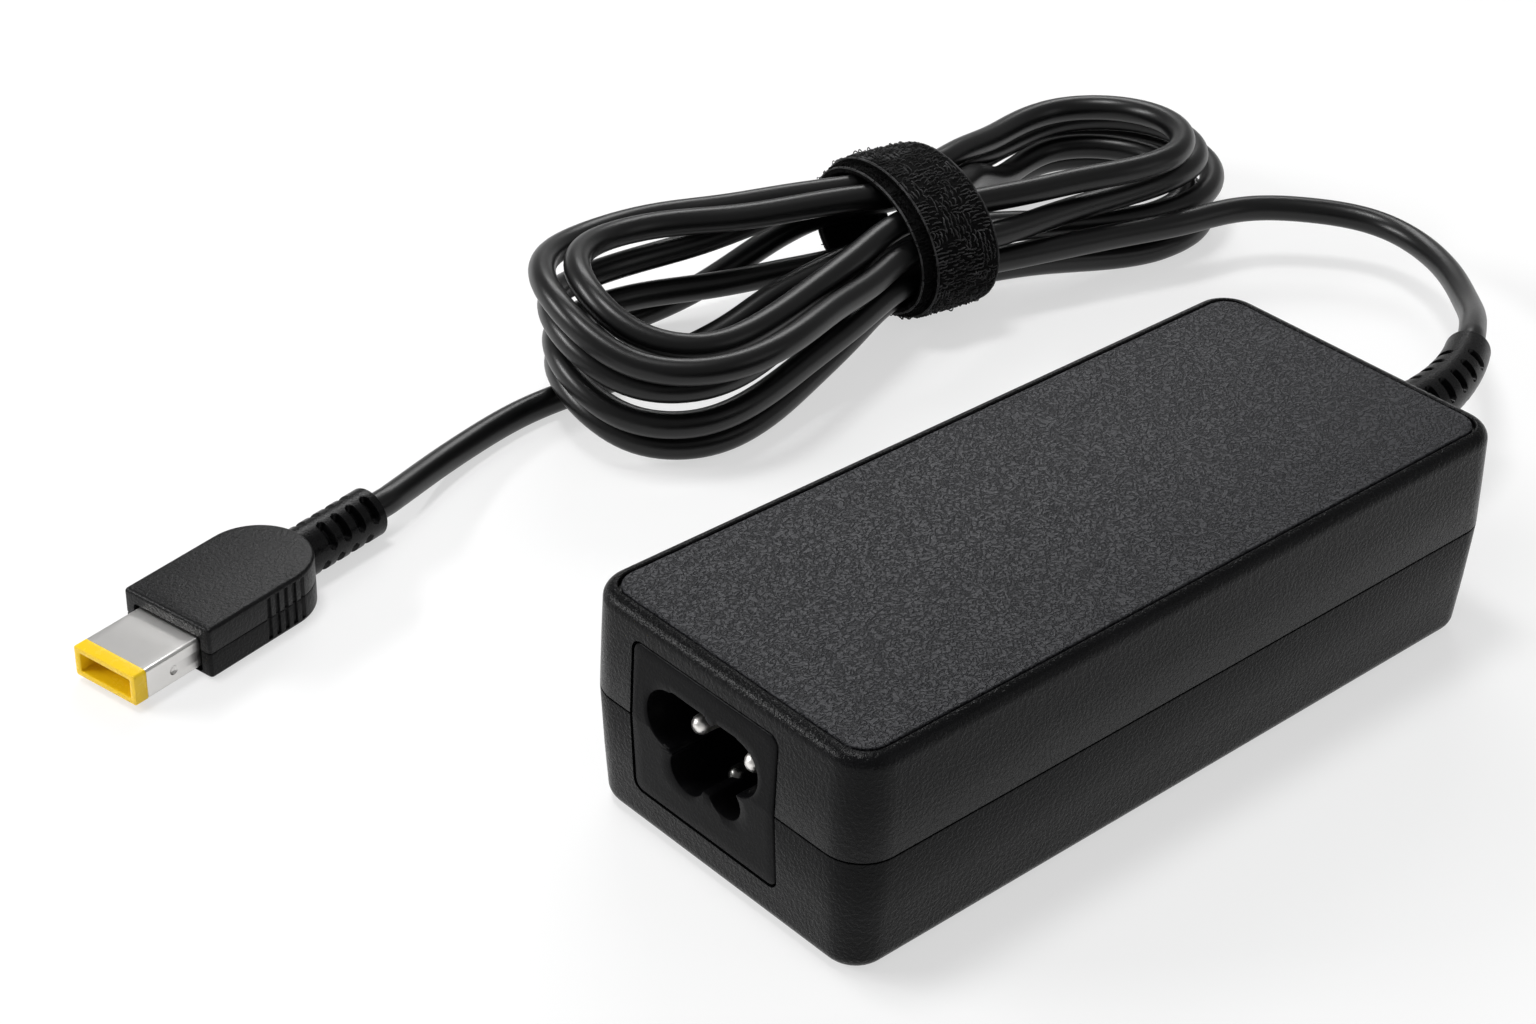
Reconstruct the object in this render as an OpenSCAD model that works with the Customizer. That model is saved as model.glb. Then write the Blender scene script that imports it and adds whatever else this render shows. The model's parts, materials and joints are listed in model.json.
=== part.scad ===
// Laptop power adapter: a two-piece moulded brick with a three-pin inlet and the
// circuit it holds, a fixed low-voltage lead tied up in a hank, and a flat plug.
// Millimetres. Origin at the middle of the brick's underside, +Z up, +X towards the lead.

/* [Case] */
// Length of the brick
case_l = 108; // [100:1:130]
// Width of the brick
case_w = 46; // [44:1:60]
// Height of the brick
case_h = 29.5; // [29:0.5:34]
// Height of the parting line between the two shells
seam_h = 16; // [15:0.5:17]
// Wall thickness of the shells
wall = 2.2; // [1.8:0.1:2.6]
// Corner radius of the brick in plan, at the parting line
corner_r = 5.2; // [4.6:0.2:7]
// Fillet round the top edge
top_fillet = 1.7; // [1:0.1:2]
// Fillet round the bottom edge
base_fillet = 2.3; // [1.5:0.1:2.6]
// Inward draft of the top shell's walls, from the parting line to the top
top_draft = 0.35; // [0.1:0.05:0.6]
// Inward draft of the bottom shell's walls, from the parting line to the base
base_draft = 0.9; // [0.4:0.1:1.2]
// Height of the tongue that joins the shells
tongue_h = 1; // [0.6:0.1:1.4]
// Width of the tongue
tongue_w = 0.9; // [0.7:0.1:1]

/* [Top panel] */
// Distance of the inlaid panel from the brick's outline
panel_margin = 2.3; // [2.2:0.1:4]
// Thickness of the panel
panel_t = 0.8; // [0.5:0.1:1]
// Corner radius of the panel
panel_r = 3.2; // [2:0.2:4]
// Width of the groove round the panel
panel_gap = 0.25; // [0.15:0.05:0.4]

/* [Mains inlet] */
// Width of the inlet's face plate
plate_w = 23.9; // [23:0.1:26]
// Part of the brick's height that the face plate leaves free
plate_space = 8.8; // [8.1:0.1:10.9]
// Corner radius of the face plate
plate_r = 1.3; // [0.6:0.1:2]
// Sideways place of the face plate's middle
plate_y = 2.2; // [0:0.1:3]
// Height of the face plate's middle above the middle of the brick
plate_lift = 1.1; // [0.9:0.05:1.3]
// Thickness of the face plate
plate_t = 2.4; // [1.8:0.1:3]
// Depth of the face plate below the end wall's face
plate_inset = 0.25; // [0.1:0.05:0.4]
// Groove round the face plate
plate_gap = 0.2; // [0.1:0.05:0.3]
// Depth of the socket
socket_depth = 14; // [12:0.5:15]
// Thickness of the socket's walls
socket_wall = 1.2; // [0.9:0.1:1.4]
// Diameter of the contact pins
pin_d = 2.4; // [2:0.1:2.6]
// Distance between the live and the neutral pin
pin_pitch = 9.5; // [9:0.1:10]
// Length of the live and neutral pins in the socket
pin_l = 10.8; // [9:0.1:11.5]
// Length of the earth pin in the socket
earth_l = 9.4; // [8:0.1:11]
// Length of the pins' solder tails behind the socket
pin_tail = 2.6; // [2:0.1:3]

/* [Circuit board] */
// Distance of the board from the brick's inlet end
board_in_gap = 6; // [5:0.5:8]
// Distance of the board from the brick's lead end
board_out_gap = 4.6; // [4.2:0.1:5]
// Clearance between the board and the side walls at their foot
board_side_gap = 0.9; // [0.4:0.1:1.4]
// Thickness of the board
board_t = 1.6; // [1:0.1:2]
// Height of the posts that carry the board
post_h = 2.6; // [2:0.1:3]
// Diameter of the posts
post_d = 4.4; // [3.6:0.1:5]
// Thickness of the insulating sheet on the floor
sheet_t = 0.4; // [0.2:0.1:0.8]

/* [Mains side] */
// Diameter of the fuse
fuse_d = 8.4; // [7:0.1:9]
// Height of the fuse
fuse_h = 7.7; // [6:0.1:9]
// Outer diameter of the choke's core
choke_d = 14; // [13:0.5:15]
// Height of the choke's core
choke_h = 6; // [5:0.5:8]
// Thickness of the choke's winding round the core
choke_wire = 1.1; // [0.8:0.1:1.4]
// Length of the filter capacitor
x_cap_l = 13; // [11:0.5:14]
// Thickness of the filter capacitor
x_cap_t = 6; // [5:0.5:7]
// Height of the filter capacitor
x_cap_h = 11.5; // [9:0.5:14]
// Width of the bridge rectifier
bridge_w = 15; // [14:0.5:16]
// Thickness of the bridge rectifier
bridge_t = 3.5; // [3:0.1:4]
// Height of the bridge rectifier
bridge_h = 10.5; // [9:0.5:12]
// Diameter of the bulk capacitor
bulk_d = 16; // [14:0.5:17]
// Clearance between the bulk capacitor and the transformer
bulk_gap = 0.8; // [0.5:0.1:5]

/* [Power stage] */
// Thickness of the heatsinks
sink_t = 1.5; // [1:0.1:2]
// Space above the heatsinks
sink_space = 4.1; // [2.1:0.1:6.1]
// Clearance between the mains side's heatsink and the transformer
sink_gap = 0.6; // [0.4:0.1:4]
// Length of the low-voltage side's heatsink
sink2_l = 24; // [20:1:26]
// Width of a power transistor's package
to_w = 10; // [9:0.1:10.5]
// Thickness of a power transistor's package
to_t = 4.5; // [4:0.1:4.8]
// Length of the transformer's core
core_l = 24; // [23:0.5:26]
// Width of the transformer's core
core_w = 13; // [12:0.5:15]
// Space above the transformer's core
core_space = 3.1; // [2.1:0.1:5.1]
// Thickness of the core's yokes and side legs
core_t = 2.8; // [2.4:0.1:3]
// Diameter of the core's middle leg
leg_d = 7; // [6:0.5:8]
// Thickness of the bobbin
bobbin_t = 0.9; // [0.6:0.1:1.2]
// Diameter of the output capacitors
out_cap_d = 8; // [6:0.5:9]
// Height of the output capacitors
out_cap_h = 14; // [11:0.5:16]
// Diameter of the safety capacitor's disc
y_cap_d = 8; // [6:0.5:9]
// Thickness of the safety capacitor's disc
y_cap_t = 3.6; // [3:0.1:4]

/* [Lead] */
// Diameter of the low-voltage cord
cord_d = 3.8; // [3.6:0.1:4]
// Diameter of the case's strain relief at its root
relief_d = 8.6; // [8:0.1:9]
// Diameter of the strain relief at its free end
relief_end_d = 6.2; // [5.8:0.1:6.6]
// Length of the strain relief's straight part
relief_straight = 12; // [11:0.5:13]
// Radius of the strain relief's bend
relief_bend_r = 39; // [36:1:42]
// Angle of the strain relief's bend
relief_bend = 30; // [26:1:32]
// Length of a flexing slot along the cord
slot_w = 0.9; // [0.6:0.1:1]
// Distance from slot to slot along one side
slot_pitch = 2.6; // [2.4:0.1:3]
// Depth of a flexing slot
slot_depth = 0.9; // [0.5:0.1:1.1]

/* [Plug] */
// Length of the plug's grip
grip_l = 22.5; // [20:0.5:26]
// Width of the plug's grip
grip_w = 14.7; // [14:0.1:16]
// Height of the plug's grip
grip_h = 7.2; // [7:0.1:8]
// Radius along the grip's edges
grip_fillet = 0.5; // [0.3:0.1:0.8]
// Distance of the first finger groove from the plug's front
groove_start = 10.1; // [9:0.1:11]
// Distance from groove to groove
groove_pitch = 1.45; // [1.2:0.05:1.6]
// Number of grooves on each side
groove_n = 5; // [3:1:6]
// Width of the metal barrel
barrel_w = 10.6; // [10:0.1:11]
// Height of the metal barrel
barrel_h = 4.3; // [4:0.1:4.6]
// Thickness of the barrel's sheet metal
barrel_t = 0.35; // [0.2:0.05:0.5]
// Length of the barrel in front of the grip
barrel_l = 8.4; // [7:0.1:10]
// Height of the barrel's middle
barrel_z = 3; // [2.9:0.1:3.6]
// Length of the coloured tip in front of the barrel
tip_l = 1.9; // [1.4:0.1:2.4]
// Width of the plug's mouth
mouth_w = 8.6; // [8:0.1:8.8]
// Height of the plug's mouth
mouth_h = 2.6; // [2.4:0.1:2.8]
// Diameter of the plug's centre pin
centre_pin_d = 0.9; // [0.6:0.1:1.2]
// Diameter of the plug's strain relief
plug_relief_d = 6.8; // [6.4:0.1:7]
// Distance of the strain relief's end from the plug's front
plug_relief_end = 35.6; // [33:0.1:38]

/* [Tie] */
// Half width of the tie's loop, outside
tie_a = 15.5; // [15.2:0.1:17]
// Half height of the tie's loop, outside
tie_b = 11.1; // [10.8:0.1:11.2]
// Thickness of one layer of the strap
strap_t = 1; // [0.8:0.1:1.1]
// Width of the strap
strap_w = 10.5; // [8:0.5:14]
// Sideways shift of the strap's inner layer
strap_shift = 2; // [0:0.5:3]

/* [Hidden] */
$fn = 48;
eps = 0.01;
fit = 0.1;

// Case
shell_fn = 32;
end_x = case_l / 2;
inner_top = case_h - panel_t - wall;
floor_z = wall;

// Inlet
plate_h = case_h - plate_space;
plate_z = case_h / 2 + plate_lift;
plate_face = -end_x + plate_inset;
socket_back = plate_face + socket_depth;
pin_y = [plate_y + pin_pitch / 2, plate_y - pin_pitch / 2];
pin_z = plate_z + 0.9;
earth_z = plate_z - 4.1;
// The socket's lobes: middle and radius of each, from the plate's middle
LOBES = [[5.7, 2.7, 3.9], [-5.6, 3, 3.7], [2.7, -3, 2.9], [-3.7, -2.6, 2.8]];
lobe_top = 6.9;
lobe_base = -1.5;
valley = -3.95;
notch_y = -1.1;
notch_r = 0.95;

// Board and what stands on it: the mains side from the socket, the rest from the board's far end
board_z = floor_z + post_h;
deck = board_z + board_t;
board_l = case_l - board_in_gap - board_out_gap;
board_w = case_w - 2 * (wall + base_draft + board_side_gap);
board_x = (board_in_gap - board_out_gap) / 2;
board_end = end_x - board_out_gap;
post_x = board_l / 2 - 4;
post_y = board_w / 2 - 4;
mains_x = socket_back + socket_wall + pin_tail;
fuse_y = -board_w / 2 + fuse_d / 2 + 1.5;
choke_y = board_w / 2 - choke_d / 2 - choke_wire - 0.8;
x_cap_y = (fuse_y + fuse_d / 2 + choke_y - choke_d / 2 - choke_wire) / 2;
bulk_x = mains_x + 22.75;
transformer_x = board_end - 24.8;
transformer_y = 2.6;
core_face = transformer_x - core_l / 2;
core_h = inner_top - deck - core_space;
bulk_l = core_face - bulk_gap - bulk_x;
sink_y = board_w / 2 - sink_t / 2 - 1;
sink_h = inner_top - deck - sink_space;
sink_x = bulk_x - 4.8;
sink_l = core_face - sink_gap - sink_x;
to_h = sink_h - 1;

// Lead
relief_z = seam_h;
neck_d = relief_d - 2;
flange_d = relief_d + 2;
flange_t = 1.8;
relief_len = relief_straight + relief_bend_r * relief_bend * PI / 180;
relief_end = relief_point(relief_len);
relief_dir = [cos(relief_bend), sin(relief_bend), 0];

// Plug
plug_at = [-76.3, 75.8, 0];
plug_turn = 10.9;
relief_axis_z = grip_h / 2;
barrel_root = 5;

// Hank: middle and heading of its long axis
hank_at = [57, 84.5, 0];
hank_turn = -10;
tie_z = 11.3;
lead_sides = 8;
hank_sides = 6;
// Half turns 1 to 10, odd ones on the left: middle along and across the hank, radius, height,
// how much higher the far side lies than the middle, and the share by which it leans along the hank
TURNS = [
    [-45.59, -8.68, 16.72, 6.41, 0, 0.16], [41.22, 7.1, 16.12, 1.9, 0, 0.03],
    [-43.8, -6.86, 17.38, 1.95, 0, 0.19], [40.41, 7.42, 17.71, 7.5, -1.27, 0.02],
    [-44.8, -7.11, 17.39, 11.3, 0, 0.18], [39.5, 5.94, 14.8, 11.6, -1.6, 0.05],
    [-43.2, -7.79, 20.1, 16.36, 0.68, 0.12], [34.9, 2.27, 13.6, 16.6, -1.54, 0.04],
    [-42.98, -7.45, 15.3, 16.55, 0.92, 0.16], [40.2, 6.8, 13.3, 6, -0.4, 0]
];
// Where runs 0 to 10 leave the tie: side and height on its left, then on its right
TIE_PLACES = [
    [-10.4, -2, -10.5, -2.2], [4.6, -5.1, 5.9, -5.1], [-7.3, -5.6, -7.5, -5.4], [11.4, -0.8, 11.1, -1.1],
    [-4, 1, -4.3, -0.7], [9.4, 3.3, 8, 2.7], [-10.4, 2.7, -10.8, 2.2], [4.6, 6.5, 4.9, 6.4],
    [-6.9, 5.6, -6.6, 5.8], [0, 7, -0.5, 5.3], [0.4, -1.6, 0.4, -1.7]
];
tie_hold = 6.5;
RUN_START = [41, -15, 9.2];
RUN_FINISH = [-42, -1, cord_d / 2];
// Route of the adapter's lead after its first straight piece
ADAPTER_ROUTE = [
    [93, 9.9, 15], [98.5, 13.8, 13], [104, 19, 11], [109.5, 24.7, 9.8], [114.7, 32.1, 8.8],
    [117.7, 40.4, 8.4], [117.2, 46.6, 8.6], [113.3, 52.1, 8.9]
];
// Route of the plug's lead after its first straight piece
PLUG_ROUTE = [
    [-31.5, 85.8, 2.9], [-24, 88.6, 2.2], [-16, 90.7, 1.95], [-8.5, 91.9, 1.95], [-0.7, 91.6, 1.95],
    [7.4, 90.8, 1.95], [15.3, 90, 2.1], [22, 89.1, 3.3], [28.5, 88.1, 5]
];

// ---------- helpers ----------

// A rectangle with round corners, centred
module round_rect(l, w, r) {
    square([l - 2 * r, w], center = true);
    square([l, w - 2 * r], center = true);
    for (sx = [-1, 1], sy = [-1, 1])
        translate([sx * (l / 2 - r), sy * (w / 2 - r)]) circle(r);
}

// A box with round vertical corners, standing on z = 0
module round_box(l, w, h, r) {
    linear_extrude(h) round_rect(l, w, r);
}

// A quarter circle of points, from angle a to angle b
function arc(cx, cz, r, a, b, n = 5) =
    [for (i = [0:n]) [cx + r * cos(a + (b - a) * i / n), cz + r * sin(a + (b - a) * i / n)]];

// Four copies of a turned profile at the brick's corners, filled between them
module corner_hull(profile) {
    hull()
        for (sx = [-1, 1], sy = [-1, 1])
            translate([sx * (end_x - corner_r), sy * (case_w / 2 - corner_r), 0])
                rotate_extrude($fn = shell_fn) polygon(profile);
}

// Half profile of the bottom shell, shrunk by t
function base_profile(t) = let (r = corner_r - t, low = r - base_draft, f = max(base_fillet - t, 0.3))
    concat([[0, t]], arc(low - f, t + f, f, -90, 0), [[r, seam_h], [0, seam_h]]);

// Half profile of the top shell, shrunk by t, with its roof at z
function top_profile(t, z) = let (r = corner_r - t, high = r - top_draft, f = max(top_fillet - t, 0.3))
    concat([[0, seam_h], [r, seam_h]], arc(high - f, z - f, f, 0, 90), [[0, z]]);

// Tongue or groove along the parting line
module seam_ring(h, from, to) {
    difference() {
        linear_extrude(h) round_rect(case_l - 2 * from, case_w - 2 * from, corner_r - from);
        translate([0, 0, -eps])
            linear_extrude(h + 2 * eps) round_rect(case_l - 2 * to, case_w - 2 * to, corner_r - to);
    }
}

// Hole in the end wall for the inlet's face plate
module plate_hole() {
    translate([-end_x - 1, plate_y, plate_z])
        rotate([90, 0, 90])
            round_box(plate_w + 2 * plate_gap, plate_h + 2 * plate_gap, wall + 2.4, plate_r + plate_gap);
}

// Hole in the other end wall for the strain relief's neck
module neck_hole() {
    translate([end_x - wall - 1, 0, relief_z]) rotate([0, 90, 0]) cylinder(d = neck_d, h = wall + 2);
}

// Points of a closed tube and its faces: rings of sides points, capped at both ends
function unit(v) = v / norm(v);
function tangent(p, i) = unit(p[min(i + 1, len(p) - 1)] - p[max(i - 1, 0)]);
function ring_side(p, i) = unit(cross([0, 0, 1], tangent(p, i)));
function ring_up(p, i) = cross(tangent(p, i), ring_side(p, i));
function tube_points(p, r, n) = [
    for (i = [0:len(p) - 1], k = [0:n - 1])
        p[i] + r[i] * (cos(360 * k / n) * ring_side(p, i) + sin(360 * k / n) * ring_up(p, i))
];
function tube_faces(m, n) = concat(
    [for (k = [1:n - 2]) [0, k, k + 1]],
    [for (i = [0:m - 2], k = [0:n - 1]) [i * n + k, (i + 1) * n + k, (i + 1) * n + (k + 1) % n]],
    [for (i = [0:m - 2], k = [0:n - 1]) [i * n + k, (i + 1) * n + (k + 1) % n, i * n + (k + 1) % n]],
    [for (k = [1:n - 2]) [(m - 1) * n, (m - 1) * n + k + 1, (m - 1) * n + k]]
);
module tube(p, r, n) {
    polyhedron(tube_points(p, r, n), tube_faces(len(p), n));
}
function same(v, n) = [for (i = [1:n]) v];

// ---------- case ----------

module top_shell() {
    color("#262729")
        difference() {
            union() {
                difference() {
                    corner_hull(top_profile(0, case_h));
                    corner_hull(top_profile(wall, inner_top));
                }
                translate([0, 0, seam_h - tongue_h])
                    seam_ring(tongue_h + 1, wall - tongue_w, wall + 0.4);
            }
            translate([0, 0, case_h - panel_t])
                round_box(case_l - 2 * panel_margin + 2 * panel_gap, case_w - 2 * panel_margin + 2 * panel_gap,
                    panel_t + 1, panel_r + panel_gap);
            plate_hole();
            neck_hole();
        }
}

module bottom_shell() {
    color("#262729")
        difference() {
            union() {
                difference() {
                    corner_hull(base_profile(0));
                    corner_hull(base_profile(wall));
                }
                for (sx = [-1, 1], sy = [-1, 1])
                    translate([board_x + sx * post_x, sy * post_y, floor_z - eps])
                        cylinder(d = post_d, h = post_h + eps);
            }
            translate([0, 0, seam_h - tongue_h - fit])
                seam_ring(tongue_h + 1, wall - tongue_w - fit, wall + 1);
            plate_hole();
            neck_hole();
        }
}

module top_panel() {
    color("#2c2e33")
        translate([0, 0, case_h - panel_t])
            round_box(case_l - 2 * panel_margin, case_w - 2 * panel_margin, panel_t, panel_r);
}

// ---------- mains inlet ----------

// Outline of the socket, seen along +X: four round lobes about a square middle
module socket_outline() {
    for (lobe = LOBES) translate([lobe[0], lobe[1]]) circle(lobe[2]);
    translate([LOBES[3][0], valley]) square([LOBES[2][0] - LOBES[3][0], lobe_base + 1 - valley]);
    difference() {
        translate([LOBES[1][0], lobe_base]) square([LOBES[0][0] - LOBES[1][0], lobe_top - lobe_base]);
        translate([notch_y, lobe_top + 0.2]) circle(notch_r);
    }
}

module inlet_body() {
    hole_l = socket_depth + socket_wall + 1;
    color("#28292b")
        translate([plate_face, plate_y, plate_z])
            rotate([90, 0, 90])
                difference() {
                    union() {
                        round_box(plate_w, plate_h, plate_t, plate_r);
                        linear_extrude(socket_depth + socket_wall) socket_shell_outline();
                    }
                    translate([0, 0, -1]) linear_extrude(socket_depth + 1) socket_outline();
                    for (s = [-1, 1])
                        translate([s * pin_pitch / 2, pin_z - plate_z, 0]) cylinder(d = pin_d, h = hole_l);
                    translate([0, earth_z - plate_z, 0]) cylinder(d = pin_d, h = hole_l);
                }
}

// Outline of the block behind the face plate that holds the socket
module socket_shell_outline() {
    translate([0, 0.6]) round_rect(plate_w - 3, 2 * (lobe_top + 0.7), 2);
}

// A contact pin with a domed tip, through the socket's back wall
module contact_pin(y, z, l) {
    color("#c9c6c0")
        translate([socket_back - l, y, z])
            rotate([0, 90, 0]) {
                translate([0, 0, pin_d / 2]) cylinder(d = pin_d, h = l + socket_wall + pin_tail - pin_d / 2);
                translate([0, 0, pin_d / 2]) sphere(d = pin_d);
            }
}

module live_pin() {
    contact_pin(pin_y[0], pin_z, pin_l);
}

module neutral_pin() {
    contact_pin(pin_y[1], pin_z, pin_l);
}

module earth_pin() {
    contact_pin(plate_y, earth_z, earth_l);
}

// ---------- circuit ----------

module circuit_board() {
    color("#2f5b3a")
        translate([board_x, 0, board_z]) round_box(board_l, board_w, board_t, 2);
}

module insulating_sheet() {
    color("#3a3a3c")
        difference() {
            translate([board_x, 0, floor_z]) round_box(board_l, board_w - 1, sheet_t, 2);
            for (sx = [-1, 1], sy = [-1, 1])
                translate([board_x + sx * post_x, sy * post_y, floor_z - 1])
                    cylinder(d = post_d + 0.4, h = sheet_t + 2);
        }
}

module fuse() {
    color("#5a2f26")
        translate([mains_x + 4.95, fuse_y, deck]) {
            cylinder(d = fuse_d, h = fuse_h - 1);
            translate([0, 0, fuse_h - 1]) cylinder(d1 = fuse_d, d2 = fuse_d - 1.6, h = 1);
        }
}

choke_at = [mains_x + 11.5, choke_y, deck + choke_wire];

module choke_core() {
    color("#3d4a3f")
        translate(choke_at)
            difference() {
                cylinder(d = choke_d, h = choke_h);
                translate([0, 0, -1]) cylinder(d = choke_d - 6.4, h = choke_h + 2);
            }
}

// Two windings, one on each side of the core
module choke_windings() {
    color("#a8602c")
        for (side = [0, 180])
            translate(choke_at)
                rotate([0, 0, side - 55])
                    rotate_extrude(angle = 110)
                        difference() {
                            translate([choke_d / 2 - 3.2 - choke_wire, -choke_wire])
                                square([3.2 + 2 * choke_wire, choke_h + 2 * choke_wire]);
                            translate([choke_d / 2 - 3.2, 0]) square([3.2, choke_h]);
                        }
}

module x_capacitor() {
    color("#c8a62c")
        translate([mains_x + x_cap_l / 2 + 3.5, x_cap_y, deck]) round_box(x_cap_l, x_cap_t, x_cap_h, 0.8);
}

module bridge_rectifier() {
    color("#1d1d1f")
        translate([bulk_x - 3, -board_w / 2 + bridge_w / 2 + 1.5, deck])
            rotate([0, 0, 90]) {
                translate([0, 0, 1]) round_box(bridge_w, bridge_t, bridge_h - 1, 0.4);
                for (k = [-1.5:1:1.5]) translate([k * bridge_w / 4.2 - 0.5, -0.4, 0]) cube([1, 0.8, 1.2]);
            }
}

module bulk_capacitor() {
    color("#23324f")
        translate([bulk_x, -board_w / 2 + bulk_d / 2 + 1, deck + bulk_d / 2])
            rotate([0, 90, 0]) {
                cylinder(d = bulk_d, h = 2);
                translate([0, 0, 2]) cylinder(d = bulk_d - 1, h = 1);
                translate([0, 0, 3]) cylinder(d = bulk_d, h = bulk_l - 3);
            }
}

// A bent heatsink plate standing on the board, with a foot
module heatsink(l) {
    color("#9fa3a8") {
        translate([-l / 2, -sink_t / 2, 0]) cube([l, sink_t, sink_h]);
        translate([-l / 2, sink_t / 2 - 5, sink_h - sink_t]) cube([l, 5, sink_t]);
    }
}

// A power transistor's package, flat against a heatsink on its +Y side
module power_package() {
    color("#202124") {
        translate([-to_w / 2, -to_t, 1.5]) cube([to_w, to_t, to_h - 6]);
    }
    color("#b9bcc0") {
        translate([-to_w / 2, -1.3, to_h - 4.5]) cube([to_w, 1.3, 3]);
        for (k = [-1:1]) translate([k * 2.54 - 0.4, -to_t / 2 - 0.4, 0]) cube([0.8, 0.8, 1.6]);
    }
}

primary_sink_at = [sink_x + sink_l / 2, sink_y, deck];
secondary_sink_at = [transformer_x + 2.4, -sink_y, deck];

module primary_heatsink() {
    translate(primary_sink_at) heatsink(sink_l);
}

module switching_transistor() {
    translate(primary_sink_at + [0, -sink_t / 2, 0]) power_package();
}

module secondary_heatsink() {
    translate(secondary_sink_at) rotate([0, 0, 180]) heatsink(sink2_l);
}

module output_rectifier() {
    translate(secondary_sink_at + [8, sink_t / 2, 0]) rotate([0, 0, 180]) power_package();
}

// Two E-shaped ferrite halves round a round middle leg
module transformer_core() {
    color("#3b3c3e")
        translate([transformer_x, transformer_y, deck]) {
            difference() {
                translate([-core_l / 2, -core_w / 2, 0]) cube([core_l, core_w, core_h]);
                translate([-core_l / 2 + core_t, -core_w, core_t])
                    cube([core_l - 2 * core_t, 2 * core_w, core_h - 2 * core_t]);
            }
            translate([0, 0, core_t - eps]) cylinder(d = leg_d, h = core_h - 2 * core_t + 2 * eps);
        }
}

winding_d = core_l - 2 * core_t - 0.4;
bobbin_h = core_h - 2 * core_t - 0.4;

module transformer_bobbin() {
    color("#d9d4c4")
        translate([transformer_x, transformer_y, deck + core_t + 0.2])
            difference() {
                union() {
                    cylinder(d = winding_d, h = bobbin_t);
                    cylinder(d = leg_d + 0.4 + 2 * bobbin_t, h = bobbin_h);
                    translate([0, 0, bobbin_h - bobbin_t]) cylinder(d = winding_d, h = bobbin_t);
                }
                translate([0, 0, -1]) cylinder(d = leg_d + 0.4, h = bobbin_h + 2);
            }
}

module transformer_winding() {
    color("#d8b23a")
        translate([transformer_x, transformer_y, deck + core_t + 0.2 + bobbin_t])
            difference() {
                cylinder(d = winding_d - 0.6, h = bobbin_h - 2 * bobbin_t);
                translate([0, 0, -1]) cylinder(d = leg_d + 0.4 + 2 * bobbin_t, h = bobbin_h);
            }
}

module optocoupler() {
    color("#202124")
        translate([core_face - 8.6, 4, deck]) {
            translate([-2.3, -3.2, 0.8]) cube([4.6, 6.4, 3.4]);
            for (sx = [-1, 1], sy = [-1, 1]) translate([sx * 1.3 - 0.3, sy * 2.8 - 0.3, 0]) cube([0.6, 0.6, 1]);
        }
}

module y_capacitor() {
    color("#3f6ea5")
        translate([transformer_x - 7.6, board_w / 2 - y_cap_t / 2 - 1.2, deck + y_cap_d / 2])
            rotate([90, 0, 0]) cylinder(d = y_cap_d, h = y_cap_t, center = true);
}

module output_capacitors() {
    color("#2a2b30")
        for (k = [0:1])
            translate([board_end - 8.4, board_w / 2 - 0.1 - (k + 0.5) * out_cap_d - 0.4 * k, deck]) {
                cylinder(d = out_cap_d, h = 1.5);
                translate([0, 0, 1.5]) cylinder(d = out_cap_d - 0.6, h = 0.8);
                translate([0, 0, 2.3]) cylinder(d = out_cap_d, h = out_cap_h - 2.3);
            }
}

lead_d = 1.7;

// An insulated wire that leaves a terminal along X and bends down to the board
module down_lead(x, y, z, sx) {
    path = [[0, 0], [0.8, 0], [1.3, -0.3], [1.6, -0.9], [1.8, -2.5], [2.1, deck + 0.1 - z]];
    tube([for (q = path) [x + sx * q[0], y, z + q[1]]], same(lead_d / 2, len(path)), 12);
}

// Two wires from the pins' tails
module input_leads() {
    color("#7a4a2c")
        for (y = pin_y) down_lead(socket_back + socket_wall + pin_tail, y, pin_z, 1);
}

// Two wires from the strain relief's flange
module output_leads() {
    color("#b8b8b8")
        for (y = [-1.3, 1.3]) down_lead(end_x - wall - flange_t, y, relief_z, -1);
}

// ---------- case strain relief ----------

// A point at distance s along the relief's axis: straight, then an arc to the left
function relief_point(s) = s <= relief_straight
    ? [end_x + s, 0, relief_z]
    : let (a = (s - relief_straight) / relief_bend_r * 180 / PI)
        [end_x + relief_straight + relief_bend_r * sin(a), relief_bend_r * (1 - cos(a)), relief_z];
function relief_turn(s) = max(0, (s - relief_straight) / relief_bend_r * 180 / PI);
function relief_r(s) = (relief_d + (relief_end_d - relief_d) * s / relief_len) / 2;

// Cutters for one slot on each of two opposite sides
module slot_pair(turn, r, long) {
    for (side = [0, 180])
        rotate([turn + side, 0, 0])
            translate([-slot_w / 2, -long / 2, r - slot_depth]) cube([slot_w, long, 3]);
}

module dc_strain_relief() {
    steps = 14;
    stations = [for (i = [0:steps]) relief_len * i / steps];
    slots_n = floor((relief_len - 6) / slot_pitch);
    color("#1b1b1c")
        difference() {
            union() {
                tube([for (s = stations) relief_point(s)], [for (s = stations) relief_r(s)], 28);
                translate([end_x - wall - eps, 0, relief_z])
                    rotate([0, 90, 0]) cylinder(d = neck_d - 0.04, h = wall + 1);
                translate([end_x - wall - flange_t, 0, relief_z])
                    rotate([0, 90, 0]) cylinder(d = flange_d, h = flange_t);
            }
            for (k = [0:slots_n - 1]) {
                side_s = 2.6 + k * slot_pitch;
                top_s = side_s + slot_pitch / 2;
                translate(relief_point(side_s))
                    rotate([0, 0, relief_turn(side_s)]) slot_pair(90, relief_r(side_s), 1.25 * relief_r(side_s));
                translate(relief_point(top_s))
                    rotate([0, 0, relief_turn(top_s)]) slot_pair(0, relief_r(top_s), 1.25 * relief_r(top_s));
            }
        }
}

// ---------- cord ----------

// An even start and stop between 0 and 1
function smooth(t) = let (c = max(0, min(1, t))) c * c * (3 - 2 * c);

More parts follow.
